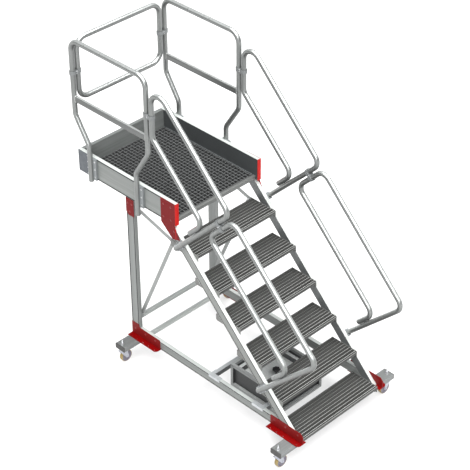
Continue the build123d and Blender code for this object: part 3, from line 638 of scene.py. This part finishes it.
# The boards' inner faces are painted darker as shade, and their grooves as on the beams.
board_inside_painted_shade = (0.175, 0.19, 0.195)
board_metal, edge_metal = 0.3, 0.4
board_low, board_high = np.array(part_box("platform_beam_left"))
board_painted_bands = [(board_inside_painted_shade, {"x": inner_skin}), *grooves("z", board_low[2], board_high[2])]
board_matter = streaked_and_shaded(
    "platform_board_mill", board_tones, "y", board_metal, painted_bands=board_painted_bands, shade=beam_painted_shade
)
rear_board_matter = streaked_and_shaded("rear_board_mill", rear_board_tones, "x", board_metal)
edge_matter = streaked_and_shaded("front_edge_mill", edge_tones, "x", edge_metal)
dress(board_matter, "platform_beam_left", "platform_beam_right")
dress(rear_board_matter, "platform_rear_board")
dress(edge_matter, "platform_front_edge")

# Deck: a pressed steel grating, dipped in zinc. Bars on edge run both ways, notched into each other,
# inside a flat border band.
mesh_pitch = 0.032
bar_thickness = 0.003
grating_height = 0.030
cross_thickness = 0.0042
bar_chamfer = 0.0006
band_thickness = 0.003
cross_sink = 0.0005
grating_tones = (0.125, 0.13, 0.13), (0.085, 0.088, 0.088)
# Painted shade: the bars keep their colour on top and darken on their sides and undersides.
grating_painted_shade = (0.2, 0.35)


def chamfered(width, height, chamfer):
    """A rectangle with cut corners, counter-clockwise about its middle."""
    return rounded(width, height, chamfer, 2)


def edge_bar(start, end, thickness, height):
    """A flat bar on edge from start to end, level, its top at their height."""
    start, end = np.array(start, float), np.array(end, float)
    length = np.linalg.norm(end - start)
    along = (end - start) / length
    part = slab(chamfered(thickness, height, bar_chamfer), ((0, 1), (length, 1)))
    return placed(part, start - (0, 0, height / 2), np.cross((0, 0, 1.0), along), (0, 0, 1.0))


bars_low, bars_high = np.array(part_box("deck_bearing_bars"))
cross_low, cross_high = np.array(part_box("deck_cross_bars"))
grating_parts = []
for y in np.arange(bars_low[1] + bar_thickness / 2, bars_high[1], mesh_pitch):
    ends = (bars_low[0], y, deck), (bars_high[0], y, deck)
    grating_parts.append(edge_bar(*ends, bar_thickness, grating_height))
for x in np.arange(cross_low[0] + bar_thickness, cross_high[0], mesh_pitch):
    ends = (x, bars_low[1], deck - cross_sink), (x, bars_high[1], deck - cross_sink)
    grating_parts.append(edge_bar(*ends, cross_thickness, grating_height - 2 * cross_sink))
(x0, y0), (x1, y1) = bars_low[:2], bars_high[:2]
band = [(x0, y0, deck), (x1, y0, deck), (x1, y1, deck), (x0, y1, deck)]
for start, end in zip(band, band[1:] + band[:1]):
    grating_parts.append(edge_bar(start, end, band_thickness, grating_height))
grating_matter = worn_and_shaded(
    "grating_galvanised", grating_tones, (0.4, 0.6), size=90.0, lift=0.0001, shade=grating_painted_shade
)
piece(
    "deck_grating", grating_parts, grating_matter,
    replaces=["deck_bearing_bars", "deck_cross_bars"],
)

# Rear corner caps: angles folded from aluminium sheet, which close the joints between the side boards and
# the rear board. Blind rivets hold each leg of the angle.
cap_tones = (0.092, 0.103, 0.115), (0.072, 0.080, 0.090)
cap_side, cap_back = 0.118, 0.130
rivet_count = 4
rivet_inset = 0.016
rivet_radius = 0.0045
rivet_rings = (
    # share of the radius, height
    (1, 0), (0.9, 0.0012), (0.55, 0.0020), (0.2, 0.0022),
)
cap_matter = worn_and_shaded("corner_cap_sheet", cap_tones, (0.35, 0.5), metal=0.45, size=30.0)
dress(cap_matter, "platform_corners")
caps_low, caps_high = np.array(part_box("platform_corners"))
rivet = turned([(share * rivet_radius, height) for share, height in rivet_rings], 16)
rivets = []
for side in (-1, 1):
    for z in np.linspace(caps_low[2] + rivet_inset, caps_high[2] - rivet_inset, rivet_count):
        rivets.append(faced(rivet, side, caps_high[0], caps_high[1] - cap_side + rivet_inset, z))
        spot = (side * (caps_high[0] - cap_back + rivet_inset), caps_high[1], z)
        rivets.append(placed(rivet, spot, (-1, 0, 0), (0, 0, 1)))
piece("corner_cap_rivets", rivets, zinc_matter)

# Red plates: cut and folded steel, powder coated, bolted over the joints of the frame. The base brackets
# have a drilled flange under the beam, the platform plates a folded flange on the beam's front end.
bracket_tones = (0.17, 0.0008, 0.0010), (0.13, 0.0006, 0.0008)
plate_tones = (0.15, 0.006, 0.007), (0.125, 0.005, 0.006)
red_screw_tones = (0.18, 0.012, 0.012), (0.14, 0.009, 0.009)
# The brackets' webs are painted darker as shade, and the plates' front flanges painted lighter as the light
# falling on them.
red_web_painted_shade = (0.15, 0.006, 0.006)
red_flange_painted_light = (0.42, 0.012, 0.010)
web_skin = (0.429, 0.4342)
flange_skin = (front - 0.0245, front - 0.0195)
coat_grain, coat_lift = 260.0, 0.00012
bracket_matter = worn_and_shaded(
    "red_powder_coat", bracket_tones, (0.36, 0.5), size=coat_grain, lift=coat_lift,
    painted_bands=[(red_web_painted_shade, {"x": web_skin})],
)
plate_matter = worn_and_shaded(
    "red_powder_coat_plates", plate_tones, (0.4, 0.55), size=coat_grain, lift=coat_lift,
    painted_bands=[(red_flange_painted_light, {"y": flange_skin})],
)
for matter in (bracket_matter, plate_matter):
    feed(matter.node_tree.nodes["Principled BSDF"], {"Specular IOR Level": 0.10})
dress(bracket_matter, "base_brackets_front", "base_brackets_rear")
dress(plate_matter, "platform_plates", "leg_head_plates")
plate_face = 0.434
plate_screws = [
    # y from the platform's front edge, z
    (0.025, 1.580), (0.100, 1.580), (0.100, 1.470), (0.025, 1.470), (-0.005, 1.385),
    (0.450, 1.400), (0.493, 1.400), (0.4715, 1.330),
    (0.4715, 0.232), (0.250, 0.232), (0.360, 0.232), (-1.020, 0.232), (-1.130, 0.232), (-1.250, 0.232),
]
plate_screw = turned([
    # radius, height, and 1 where the socket is six-sided
    (0.0085, 0), (0.0080, 0.0014), (0.0062, 0.0026), (0.0034, 0.0031), (0.0032, 0.0022, 1),
    (0.0030, 0.0010, 1),
])
red_screw_matter = worn_and_shaded("red_screw_coat", red_screw_tones, (0.35, 0.5), size=400.0)
spots = [(plate_face, front + y, z) for y, z in plate_screws]
piece("plate_screws", both_sides(plate_screw, spots), red_screw_matter)

# Braces: four aluminium flat bars a side with round ends, which keep the frame square. Bolts with nuts pin
# them to the top tread's lug and to pads on the leg.
brace_tones = (0.27, 0.28, 0.275), (0.22, 0.23, 0.225)
brace_matter = worn_and_shaded("brace_flat_bar", brace_tones, (0.3, 0.5), metal=0.5, size=80.0, lift=0.00005)
dress(brace_matter, "braces")
brace_pins = (
    # y from the platform's front edge, z, x of the head's seat
    (0.054, 1.250, 0.386), (0.4715, 1.365, 0.391), (0.4465, 0.362, 0.386),
)
pin_size = 0.012
spots = [(seat, front + y, z) for y, z, seat in brace_pins]
piece("brace_pins", both_sides(hex_bolt(pin_size, nut=True), spots, -1), zinc_matter)

# Guard rails: one bent aluminium tube a side makes the hoop and its two cranked posts, a closed loop of the
# same tube guards the rear, and a flat knee rail is welded between the posts.
tube_radius = 0.020
tube_wall = 0.0025
side_play = 0.0005
rail_plane = outer_face + side_play + tube_radius
platform_length = 1.000
guard_front, guard_rear = 0.222, platform_length + 0.012
foot_front, foot_rear = 0.360, platform_length - 0.125
foot_drop_front, foot_drop_rear = 0.110, 0.053
guard_top = deck + 1.083
crank_foot, crank_head = deck + 0.250, deck + 0.465
guard_bend, crank_bend = 0.085, 0.090
loop_low, loop_high, loop_bend = deck + 0.578, deck + 1.063, 0.085
clamp_pitch = 0.050
knee_level, knee_height, knee_thickness, knee_round = deck + 0.602, 0.050, 0.020, 0.006
weld_gap = 0.001
rail_tones = (0.58, 0.60, 0.59), (0.47, 0.49, 0.48)
cap_plastic_tones = (0.32, 0.33, 0.33), (0.24, 0.25, 0.25)
rail_metal = 0.7
tube_cap_rings = (
    # share of the tube's radius, height
    (1, 0), (1, 0.0015), (0.85, 0.0030), (0.45, 0.0038),
)


def bent_path(corners, bends, step=12):
    """Straight runs between corners (n, 3), with each inner corner replaced by an arc of its bend radius.
    The arc starts bend * tan(turn / 2) before the corner and its points are evenly spaced in angle."""
    corners = np.array(corners, float)
    path = [corners[:1]]
    for before, corner, after, bend in zip(corners, corners[1:], corners[2:], bends):
        a = (corner - before) / np.linalg.norm(corner - before)
        b = (after - corner) / np.linalg.norm(after - corner)
        turn = math.acos(np.clip(a @ b, -1, 1))
        out = b - a * (a @ b)
        out /= np.linalg.norm(out)
        start = corner - a * bend * math.tan(turn / 2)
        angle = np.linspace(0, turn, step)[:, None]
        path.append(start + bend * (np.sin(angle) * a + (1 - np.cos(angle)) * out))
    path.append(corners[-1:])
    return np.concatenate(path)


def tube_along(path, normal, closed=False, around=28):
    """A round tube along a flat path: rings square to it, outside and then back inside, so that the wall is
    closed at its ends. A closed path takes the outer skin alone."""
    step = np.roll(path, -1, 0) - np.roll(path, 1, 0) if closed else np.gradient(path, axis=0)
    if not closed:
        step[0], step[-1] = path[1] - path[0], path[-1] - path[-2]
    step /= np.linalg.norm(step, axis=1)[:, None]
    side = np.cross(step, normal)
    angle = np.arange(around) * 2 * math.pi / around
    across, up = np.cos(angle)[None, :, None], np.sin(angle)[None, :, None]
    ring = across * side[:, None] + up * np.array(normal, float)
    outside = path[:, None] + tube_radius * ring
    inside = path[:, None] + (tube_radius - tube_wall) * ring
    return shell(outside, True) if closed else shell(np.concatenate([outside, inside[::-1]]), True)


def tube_plug(end, way):
    """A shallow domed plastic cap on the end of a tube, standing along way."""
    way = np.array(way, float) / np.linalg.norm(way)
    aside = np.array([1.0, 0, 0])
    part = turned([(share * tube_radius, height) for share, height in tube_cap_rings], 28)
    return placed(part, end, aside, np.cross(way, aside))


def at_side(points, side):
    """(y, z) points from the platform's front edge, in the plane of the rails."""
    return [(side * rail_plane, front + y, z) for y, z in points]


# Painted shade: the tubes and the knee rail darken where they look sideways and down, so only their tops are
# full bright.
rail_matter = worn_and_shaded(
    "rail_tube_satin", rail_tones, (0.26, 0.36), rail_metal, size=45.0, along=(1, 1, 8), lift=0.00003,
    shade=(0.12, 0.42),
)
knee_matter = worn_and_shaded(
    "knee_rail_satin", rail_tones, (0.3, 0.45), rail_metal, along=(1, streak_length, 1), shade=(0.12, 0.27)
)
cap_plastic = worn_and_shaded("tube_cap_plastic", cap_plastic_tones, (0.4, 0.55), size=600.0, lift=0.00005)
hoop_bends = [crank_bend, crank_bend, guard_bend, guard_bend, crank_bend, crank_bend]
hoop = [
    (foot_rear, deck - foot_drop_rear), (foot_rear, crank_foot), (guard_rear, crank_head),
    (guard_rear, guard_top), (guard_front, guard_top), (guard_front, crank_head), (foot_front, crank_foot),
    (foot_front, deck - foot_drop_front),
]
tube_plugs = []
knee_welds = []
for side, name in sides:
    hoop_path = bent_path(at_side(hoop, side), hoop_bends)
    piece(
        f"guard_hoop_tube_{name}", [tube_along(hoop_path, (1, 0, 0))], rail_matter,
        replaces=[f"guard_hoop_{name}"],
    )
    tube_plugs += [tube_plug(hoop_path[0], (0, 0, -1)), tube_plug(hoop_path[-1], (0, 0, -1))]
    outline = rounded(knee_thickness, knee_height, knee_round, 8)
    for post, way in ((guard_front, 1), (guard_rear, -1)):
        reach = np.sqrt((tube_radius + weld_gap) ** 2 - outline[:, 0] ** 2)
        x, z = side * rail_plane + outline[:, 0], knee_level + outline[:, 1]
        ring = np.column_stack([x, front + post + way * reach, z])
        knee_welds.append(bead(dense(ring, bead_pitch / 4), (0, 1, 0)))
dress(knee_matter, "knee_rails")
piece("knee_rail_welds", knee_welds, bead_matter)
loop_x = rail_plane - clamp_pitch
loop_points = [(0, loop_high), (-loop_x, loop_high), (-loop_x, loop_low)]
loop_points += [(-x, z) for x, z in loop_points[::-1]]
loop_path = bent_path([(x, front + guard_rear, z) for x, z in loop_points], [loop_bend] * 4)[:-1]
piece(
    "guard_rear_tube", [tube_along(loop_path, (0, 1, 0), True)], rail_matter,
    replaces=["guard_rear_loop"],
)

# Handrails: two bent aluminium tubes a side follow the slope. Each turns back on itself, its short end is
# welded beside its own foot, and the foot runs down over the stringer.
upper_rise, lower_rise, stub_rise = 0.933, 0.453, 0.187
upper_slide, lower_slide = 0.591, 1.424
rail_bend, rail_top_bend = 0.070, 0.085
foot_overhang = 0.010
stub_shift = (2 * tube_radius + side_play) * slant
clamp_shift = clamp_pitch * slant
head_y = guard_front - clamp_pitch
foot_rise = -(stringer_setback + stringer_depth / slant + foot_overhang)
stub_weld_start, stub_weld_end, stub_weld_points = 0.004, 0.064, 61
stub_weld_apart, stub_weld_radius = 0.0045, 0.0032


def along_post(shift, rise):
    """The (y, z) so high above the noses on the post that meets the upper rail at y = -shift; the post is
    square to the slope of 45 degrees, so y gains half the drop."""
    y = -shift + (upper_rise - rise) / 2
    return y, deck + rise + y


stub_welds = []
for side, name in sides:
    upper = [
        along_post(upper_slide - stub_shift, stub_rise), along_post(upper_slide - stub_shift, lower_rise),
        (head_y, deck + lower_rise + head_y), (head_y, deck + upper_rise + head_y),
        along_post(upper_slide, upper_rise), along_post(upper_slide, foot_rise),
    ]
    lower = [
        along_post(lower_slide - stub_shift, stub_rise), along_post(lower_slide - stub_shift, lower_rise),
        along_post(upper_slide + clamp_shift, lower_rise), along_post(upper_slide + clamp_shift, upper_rise),
        along_post(lower_slide, upper_rise), along_post(lower_slide, foot_rise),
    ]
    for which, points, top_bend in (("upper", upper, rail_top_bend), ("lower", lower, rail_bend)):
        path = bent_path(at_side(points, side), [rail_bend, rail_bend, top_bend, rail_bend])
        piece(
            f"handrail_tube_{which}_{name}", [tube_along(path, (1, 0, 0))], rail_matter,
            replaces=[f"handrail_{which}_{name}"],
        )
        tube_plugs += [tube_plug(path[0], path[0] - path[1]), tube_plug(path[-1], path[-1] - path[-2])]
        stub = path[1] - path[0]
        stub /= np.linalg.norm(stub)
        beside = np.array([0, -stub[2], stub[1]])
        beside *= -np.sign(beside[1])
        places = np.linspace(stub_weld_start, stub_weld_end, stub_weld_points)
        line = path[0] + np.outer(places, stub) + beside * (tube_radius + side_play / 2)
        for out in (-stub_weld_apart, stub_weld_apart):
            stub_welds.append(bead(line + (out, 0, 0), (1, 0, 0), stub_weld_radius, closed=False))
piece("handrail_welds", stub_welds, bead_matter)
piece("tube_caps", tube_plugs, cap_plastic)

# Clamps: two half shells of cast aluminium grip a pair of tubes side by side, pulled together by screws in
# the waist. They tie the rear guard to the hoops, and the handrails to the hoops and to each other.
clamp_wall = 0.005
clamp_length = 0.030
bore_gap = 0.0003
split_gap = 0.0012
clamp_screw = 0.006
clamp_screw_shift = 0.007
clamp_edge = 0.0008
waist_share, waist_near, waist_far = 0.86, 0.25, 0.35
clamp_drop = 0.155
clamp_levels = deck + 0.813, deck + 0.798
clamp_tones = (0.20, 0.21, 0.212), (0.14, 0.148, 0.15)


def clamp_half(side):
    """One half of the clamp's section on the (u, v) plane: an outer line of two quarter circles with a
    waist between them, and back along both bores; side is the sign of v."""
    outer, bore, reach = tube_radius + clamp_wall, tube_radius + bore_gap, clamp_pitch / 2
    quarter = np.linspace(0, math.pi / 2, 9)
    half = np.linspace(0, math.pi, 17)
    right_end = np.stack([reach + outer * np.cos(quarter), outer * np.sin(quarter)], 1)
    waist = np.array([(waist_far * reach, outer), (waist_near * reach, waist_share * outer)])
    waist = np.concatenate([waist, waist[::-1] * (-1, 1)])
    left_end = np.stack([-reach - outer * np.sin(quarter), outer * np.cos(quarter)], 1)
    left_bore = np.stack([-reach - bore * np.cos(half), bore * np.sin(half)], 1)
    right_bore = np.stack([reach - bore * np.cos(half), bore * np.sin(half)], 1)
    line = np.concatenate([right_end, waist, left_end, left_bore, right_bore])
    return np.column_stack([line[:, 0], side * np.maximum(line[:, 1], split_gap / 2)])


middle_y, middle_z = along_post(upper_slide + clamp_shift / 2, upper_rise - clamp_drop / slant)
clamp_matter = worn_and_shaded("clamp_casting", clamp_tones, (0.4, 0.6), metal=0.35, size=500.0, lift=0.0001)
clamp_parts = []
clamp_screws = []
for side in (-1, 1):
    clamps = (
        # middle of the clamp, direction across the tubes, direction out of its face
        ((side * (rail_plane + loop_x) / 2, front + guard_rear, clamp_levels[0]), (1, 0, 0), (0, -1, 0)),
        ((side * rail_plane, front + (guard_front + head_y) / 2, clamp_levels[1]), (0, 1, 0), (side, 0, 0)),
        ((side * rail_plane, front + middle_y, middle_z), (0, -slant, -slant), (side, 0, 0)),
    )
    for centre, across, out in clamps:
        for half in (-1, 1):
            line = clamp_half(half)
            reach = clamp_length / 2
            rows = [np.column_stack([line, np.full(len(line), w)]) for w in (-reach, reach)]
            clamp_parts.append(placed(shell(rows), centre, across, out))
            away = np.array(out, float) * half
            seat = np.array(centre) + away * (tube_radius + clamp_wall) * waist_share
            u = np.array(across, float) * half
            for shift in (-clamp_screw_shift, clamp_screw_shift):
                spot = seat + np.cross(across, out) * shift
                clamp_screws.append(placed(socket_screw(clamp_screw), spot, u, np.cross(away, u)))
piece("clamp_shells", clamp_parts, clamp_matter, replaces=["rail_clamps"], bevel=clamp_edge)
piece("clamp_screws", clamp_screws, zinc_matter)

# Post holders: blocks cut from an aluminium extrusion and screwed to the platform boards. The foot of each
# guard post slides down through the bore, which is open on the outside.
holder_tones = (0.22, 0.235, 0.24), (0.18, 0.192, 0.197)
holder_face = 0.447
holder_screw, holder_screw_count = 0.008, 3
holder_screw_inset, holder_screw_aside = 0.025, 0.040
holder_matter = streaked_and_shaded("post_holder_extrusion", holder_tones, "z")
dress(holder_matter, "post_holders")
holder_low, holder_high = np.array(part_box("post_holders"))
z_low, z_high = holder_low[2] + holder_screw_inset, holder_high[2] - holder_screw_inset
levels = np.linspace(z_low, z_high, holder_screw_count)
places = [front + foot - holder_screw_aside for foot in (foot_front, foot_rear)]
spots = [(holder_face, y, z) for y in places for z in levels]
piece("post_holder_screws", both_sides(socket_screw(holder_screw), spots), zinc_matter)

# Handrail feet: thick aluminium blocks on the stringers' outer faces, bored for the tube and held by
# four screws.
foot_length, foot_width, foot_thickness = 0.092, 0.056, 0.024
foot_screw = 0.005
foot_screw_reach = foot_length / 2 - 0.010, foot_width / 2 - 0.006
dress(holder_matter, "handrail_feet")
spots = []
for slide in (upper_slide, lower_slide):
    middle = along_post(slide, -(2 * stringer_setback + stringer_depth / slant) / 2)
    for a in (-foot_screw_reach[0], foot_screw_reach[0]):
        for b in (-foot_screw_reach[1], foot_screw_reach[1]):
            y, z = front + middle[0] + slant * (a - b), middle[1] - slant * (a + b)
            spots.append((outer_face + foot_thickness, y, z))
piece("handrail_foot_screws", both_sides(socket_screw(foot_screw), spots), zinc_matter)

# Outriggers: short rectangular aluminium tubes that lie across under the base beams and widen the stance.
# Plastic caps are pushed into their open ends.
outrigger_tones = (0.18, 0.187, 0.185), (0.145, 0.152, 0.15)
cap_end_tones = (0.045, 0.043, 0.041), (0.03, 0.029, 0.028)
outrigger_matter = streaked_and_shaded("outrigger_mill", outrigger_tones, "x")
dress(outrigger_matter, "outriggers_front", "outriggers_rear")
cap_end_matter = worn_and_shaded("outrigger_cap_plastic", cap_end_tones, (0.45, 0.6), size=700.0, lift=0.00008)
dress(cap_end_matter, "outrigger_caps")

# Caster stems: a threaded bolt of zinc plated steel goes up through each outrigger and a nut locks it.
# Under the outrigger sits the upper race of the swivel bearing.
swivel_x = 0.590
stem_radius = 0.006
thread_pitch = 0.00175
thread_depth = 0.0009
stem_foot, stem_head = 0.110, 0.214
nut_seat = 0.172
race_top = 0.128
# radius, height above the part's own seat, and 1 where it is six-sided
stem_nut = (0.0118, 0.0025), (0.0127, 0.0035, 1), (0.0127, 0.0115, 1), (0.0112, 0.0130), (0.0062, 0.0130)
stem_washer = (0.0135, 0), (0.0135, 0.0022), (0.0130, 0.0026)
upper_race = (0.0240, -0.0062), (0.0268, -0.0058), (0.0270, -0.0020), (0.0255, -0.0003), (0.0150, 0)
stem_shank = (stem_radius, 0), (stem_radius, race_top - stem_foot)
stem_tones = (0.56, 0.57, 0.58), (0.40, 0.41, 0.43)


def thread(low, high, rows_a_turn=6, around=16):
    """A screw thread: the radius falls by the depth times a triangle wave of height over pitch less the
    share of a turn."""
    z = np.arange(low, high, thread_pitch / rows_a_turn)[:, None]
    angle = np.arange(around)[None] * 2 * math.pi / around
    phase = np.mod(z / thread_pitch - angle / (2 * math.pi), 1)
    radius = stem_radius - thread_depth * np.abs(2 * phase - 1)
    return shell(np.stack([radius * np.cos(angle), radius * np.sin(angle), z + 0 * angle], -1))


stem_matter = worn_and_shaded("stem_zinc", stem_tones, (0.25, 0.42), metal=0.75, size=300.0)
caster_corners = [(end, name, side) for end in ("front", "rear") for side, name in sides]
stem_set = (
    (thread(nut_seat, stem_head), 0), (turned(stem_washer), nut_seat), (turned(stem_nut), nut_seat),
    (turned(upper_race, 40), race_top), (turned(stem_shank, 20), stem_foot),
)
stem_parts = []
for end, name, side in caster_corners:
    y = np.array(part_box(f"caster_fork_{end}_{name}"))[:, 1].mean()
    for part, z in stem_set:
        stem_parts.append(placed(part, (side * swivel_x, y, z), (1, 0, 0), (0, 1, 0)))
piece("caster_stem_bolts", stem_parts, stem_matter, replaces=["caster_stems"])

# Casters: a pressed steel fork with the lower race on its crown, an axle bolt, and a brake lever with a
# ribbed pad. The wheel is a pale nylon disc with a moulded olive tread.
axle_level = 0.050
trail = 0.028
axle_bolt, axle_bolt_seat = 0.008, 0.0215
rib_bars, rib_bar_size, rib_bar_inset = 5, 0.003, 0.003
rib_bar_start, rib_bar_pitch = 0.066, 0.006
rib_bar_level, rib_bar_fall = 0.1095, 0.0026
crown_race = (
    # radius, height above the floor
    (0.0275, 0.1100), (0.0275, 0.1105), (0.0262, 0.1130), (0.0268, 0.1180), (0.0255, 0.1212),
    (0.0150, 0.1215),
)
disc_half = (
    # radius, distance from the wheel's middle plane, from the bore outward
    (0.0046, 0.0180), (0.0120, 0.0180), (0.0165, 0.0180), (0.0172, 0.0172), (0.0180, 0.0105),
    (0.0260, 0.0098), (0.0370, 0.0104), (0.0392, 0.0155), (0.0410, 0.0160), (0.0455, 0.0152),
)
tyre_line = (
    (0.0450, -0.0150), (0.0474, -0.0156), (0.0489, -0.0146), (0.0497, -0.0120), (0.0500, -0.0060),
    (0.0500, 0.0), (0.0500, 0.0060), (0.0497, 0.0120), (0.0489, 0.0146), (0.0474, 0.0156),
    (0.0450, 0.0150), (0.0448, 0.0),
)
disc_line = [(radius, -away) for radius, away in disc_half] + list(disc_half[::-1])
fork_tones = (0.44, 0.45, 0.49), (0.34, 0.35, 0.39)
pedal_tones = (0.50, 0.51, 0.53), (0.38, 0.39, 0.41)
pad_tones = (0.06, 0.06, 0.062), (0.035, 0.035, 0.037)
disc_tones = (0.155, 0.143, 0.175), (0.125, 0.113, 0.14)
tyre_tones = (0.30, 0.22, 0.085), (0.20, 0.15, 0.05)


def wheel_ring(line, axle, around=56):
    """A closed (radius, distance) outline turned about the axle, which lies along y."""
    angle = np.arange(around) * 2 * math.pi / around
    radius, away = np.array(line).T[:, :, None]
    rings = np.stack([radius * np.cos(angle), away + 0 * angle, radius * np.sin(angle)], -1)
    return shell(rings + axle, True)


fork_matter = worn_and_shaded("fork_zinc", fork_tones, (0.28, 0.45), metal=0.6, size=250.0)
pedal_matter = worn_and_shaded("pedal_zinc", pedal_tones, (0.3, 0.45), metal=0.6, size=250.0)
pad_matter = worn_and_shaded("pedal_pad_plastic", pad_tones, (0.45, 0.6), size=500.0, lift=0.00008)
disc_matter = worn_and_shaded("wheel_disc_nylon", disc_tones, (0.35, 0.5), lift=0.00005)
tyre_matter = worn_and_shaded("wheel_tread_rubber", tyre_tones, (0.5, 0.65), size=90.0, lift=0.0001)
for end, name, side in caster_corners:
    caster, wheel = f"caster_{end}_{name}", f"wheel_{end}_{name}"
    spot_y = np.array(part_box(wheel))[:, 1].mean()
    swivel = np.array([side * swivel_x, spot_y, 0])
    axle = np.array([side * (swivel_x - trail), spot_y, axle_level])
    dress(fork_matter, f"caster_fork_{end}_{name}")
    dress(pedal_matter, f"brake_pedal_{end}_{name}")
    fork_extra = [placed(turned(crown_race, 40), swivel, (1, 0, 0), (0, 1, 0))]
    for way in (-1, 1):
        seat = axle + (0, way * axle_bolt_seat, 0)
        fork_extra.append(placed(hex_bolt(axle_bolt, nut=way == 1), seat, (1, 0, 0), (0, 0, -way)))
    piece(f"fork_race_{end}_{name}", fork_extra, fork_matter, caster)
    pedal_low, pedal_high = np.array(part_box(f"brake_pedal_{end}_{name}"))
    near_y, far_y = pedal_low[1] + rib_bar_inset, pedal_high[1] - rib_bar_inset
    pad_parts = []
    for k in range(rib_bars):
        x = side * (swivel_x - rib_bar_start - rib_bar_pitch * k)
        z = rib_bar_level - rib_bar_fall * k
        bar_ends = np.array([(x, near_y, z), (x, far_y, z)])
        pad_parts.append(edge_bar(*bar_ends, rib_bar_size, rib_bar_size))
    piece(f"pedal_ribs_{end}_{name}", pad_parts, pad_matter, caster)
    disc, tyre = wheel_ring(disc_line, axle), wheel_ring(tyre_line, axle)
    piece(f"wheel_disc_{end}_{name}", [disc], disc_matter, wheel, [wheel])
    piece(f"wheel_tread_{end}_{name}", [tyre], tyre_matter, wheel)

# Ballast box: a welded steel frame with panels set back in it, painted grey, hung between the base beams
# on cross bars that hook over them. It holds one heavy block under a stepped sheet cover.
box_tones = (0.40, 0.415, 0.41), (0.33, 0.345, 0.34)
weight_tones = (0.07, 0.075, 0.078), (0.04, 0.043, 0.045)
cover_tones = (0.86, 0.88, 0.87), (0.76, 0.78, 0.77)
hook_tones = (0.50, 0.52, 0.53), (0.42, 0.44, 0.45)
# Painted shade: the panels set back in the frame are painted dark, the cross bars carry a painted shadow on
# their inner part, and the box and cover darken where they look sideways and down.
box_panel_painted_shade = (0.050, 0.053, 0.053)
hook_painted_shadow = (0.10, 0.105, 0.105)
hook_shadow_range = {"x": (0, 0.392), "z": (0.20, 0.2525)}
box_low, box_high = np.array(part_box("ballast_box"))
box_frame = 0.024
panel_inset = 0.002
box_weld_radius = 0.0018
panel_shade_range = {
    "x": (0, box_high[0] - panel_inset),
    "y": (box_low[1] + panel_inset, box_high[1] - panel_inset),
    "z": (box_low[2] + box_frame, box_high[2] - box_frame),
}
box_matter = worn_and_shaded(
    "ballast_box_paint", box_tones, (0.4, 0.55), metal=0.1, size=150.0, lift=0.0001,
    painted_bands=[(box_panel_painted_shade, panel_shade_range)], shade=(0.3, 0.6),
)
weight_matter = worn_and_shaded("ballast_weight_paint", weight_tones, (0.5, 0.65), size=120.0, lift=0.0002)
cover_matter = worn_and_shaded(
    "ballast_cover_sheet", cover_tones, (0.35, 0.5), metal=0.1, lift=0.00006, shade=(0.1, 0.14)
)
hook_matter = streaked_and_shaded("box_bar_mill", hook_tones, "x", painted_bands=[(hook_painted_shadow, hook_shadow_range)])
dress(box_matter, "ballast_box")
dress(weight_matter, "ballast_weight")
dress(cover_matter, "ballast_cover")
dress(hook_matter, "box_cross_bars")
box_welds = []
for x in (box_low[0], box_high[0]):
    for y in (box_low[1], box_high[1]):
        inner = y + box_frame * (1 if y == box_low[1] else -1)
        for z in (box_low[2] + box_frame, box_high[2] - box_frame):
            line = np.linspace((x, y, z), (x, inner, z), 25)
            box_welds.append(bead(line, (1, 0, 0), box_weld_radius, closed=False))
piece("ballast_box_welds", box_welds, box_matter)

# Ballast knob: a star grip with seven lobes, moulded in black plastic on a spindle. Turned down, it locks
# the cover of the ballast box.
knob_radius = 0.032
knob_foot = 0.194
spindle_radius, spindle_lap = 0.007, 0.002
lobes, knob_around = 7, 84
knob_rings = (
    # share of the radius, height above the foot, depth of the lobes
    (0.42, 0.000, 0.00), (0.50, 0.001, 0.00), (0.52, 0.006, 0.01), (0.86, 0.009, 0.07), (0.97, 0.012, 0.09),
    (0.99, 0.017, 0.09), (0.93, 0.022, 0.08), (0.78, 0.025, 0.05), (0.40, 0.026, 0.00), (0.10, 0.0258, 0.00),
)
knob_tones = (0.035, 0.035, 0.037), (0.02, 0.02, 0.021)
knob_matter = worn_and_shaded("knob_plastic", knob_tones, (0.35, 0.5), size=500.0, lift=0.00006)
knob_low, knob_high = np.array(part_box("ballast_knob"))
knob_x, knob_y = ((knob_low + knob_high) / 2)[:2]
angle = np.arange(knob_around) * 2 * math.pi / knob_around
share, height, lobe = np.array(knob_rings).T[:, :, None]
radius = knob_radius * share * (1 - lobe + lobe * np.cos(lobes * angle))
grip = np.stack([radius * np.cos(angle), radius * np.sin(angle), knob_foot + height + 0 * radius], -1)
grip += (knob_x, knob_y, 0)
spindle = turned([(spindle_radius, knob_low[2]), (spindle_radius, knob_foot + spindle_lap)], 20)
spindle = placed(spindle, (knob_x, knob_y, 0), (1, 0, 0), (0, 1, 0))
piece("ballast_star_knob", [shell(grip), spindle], knob_matter, replaces=["ballast_knob"])
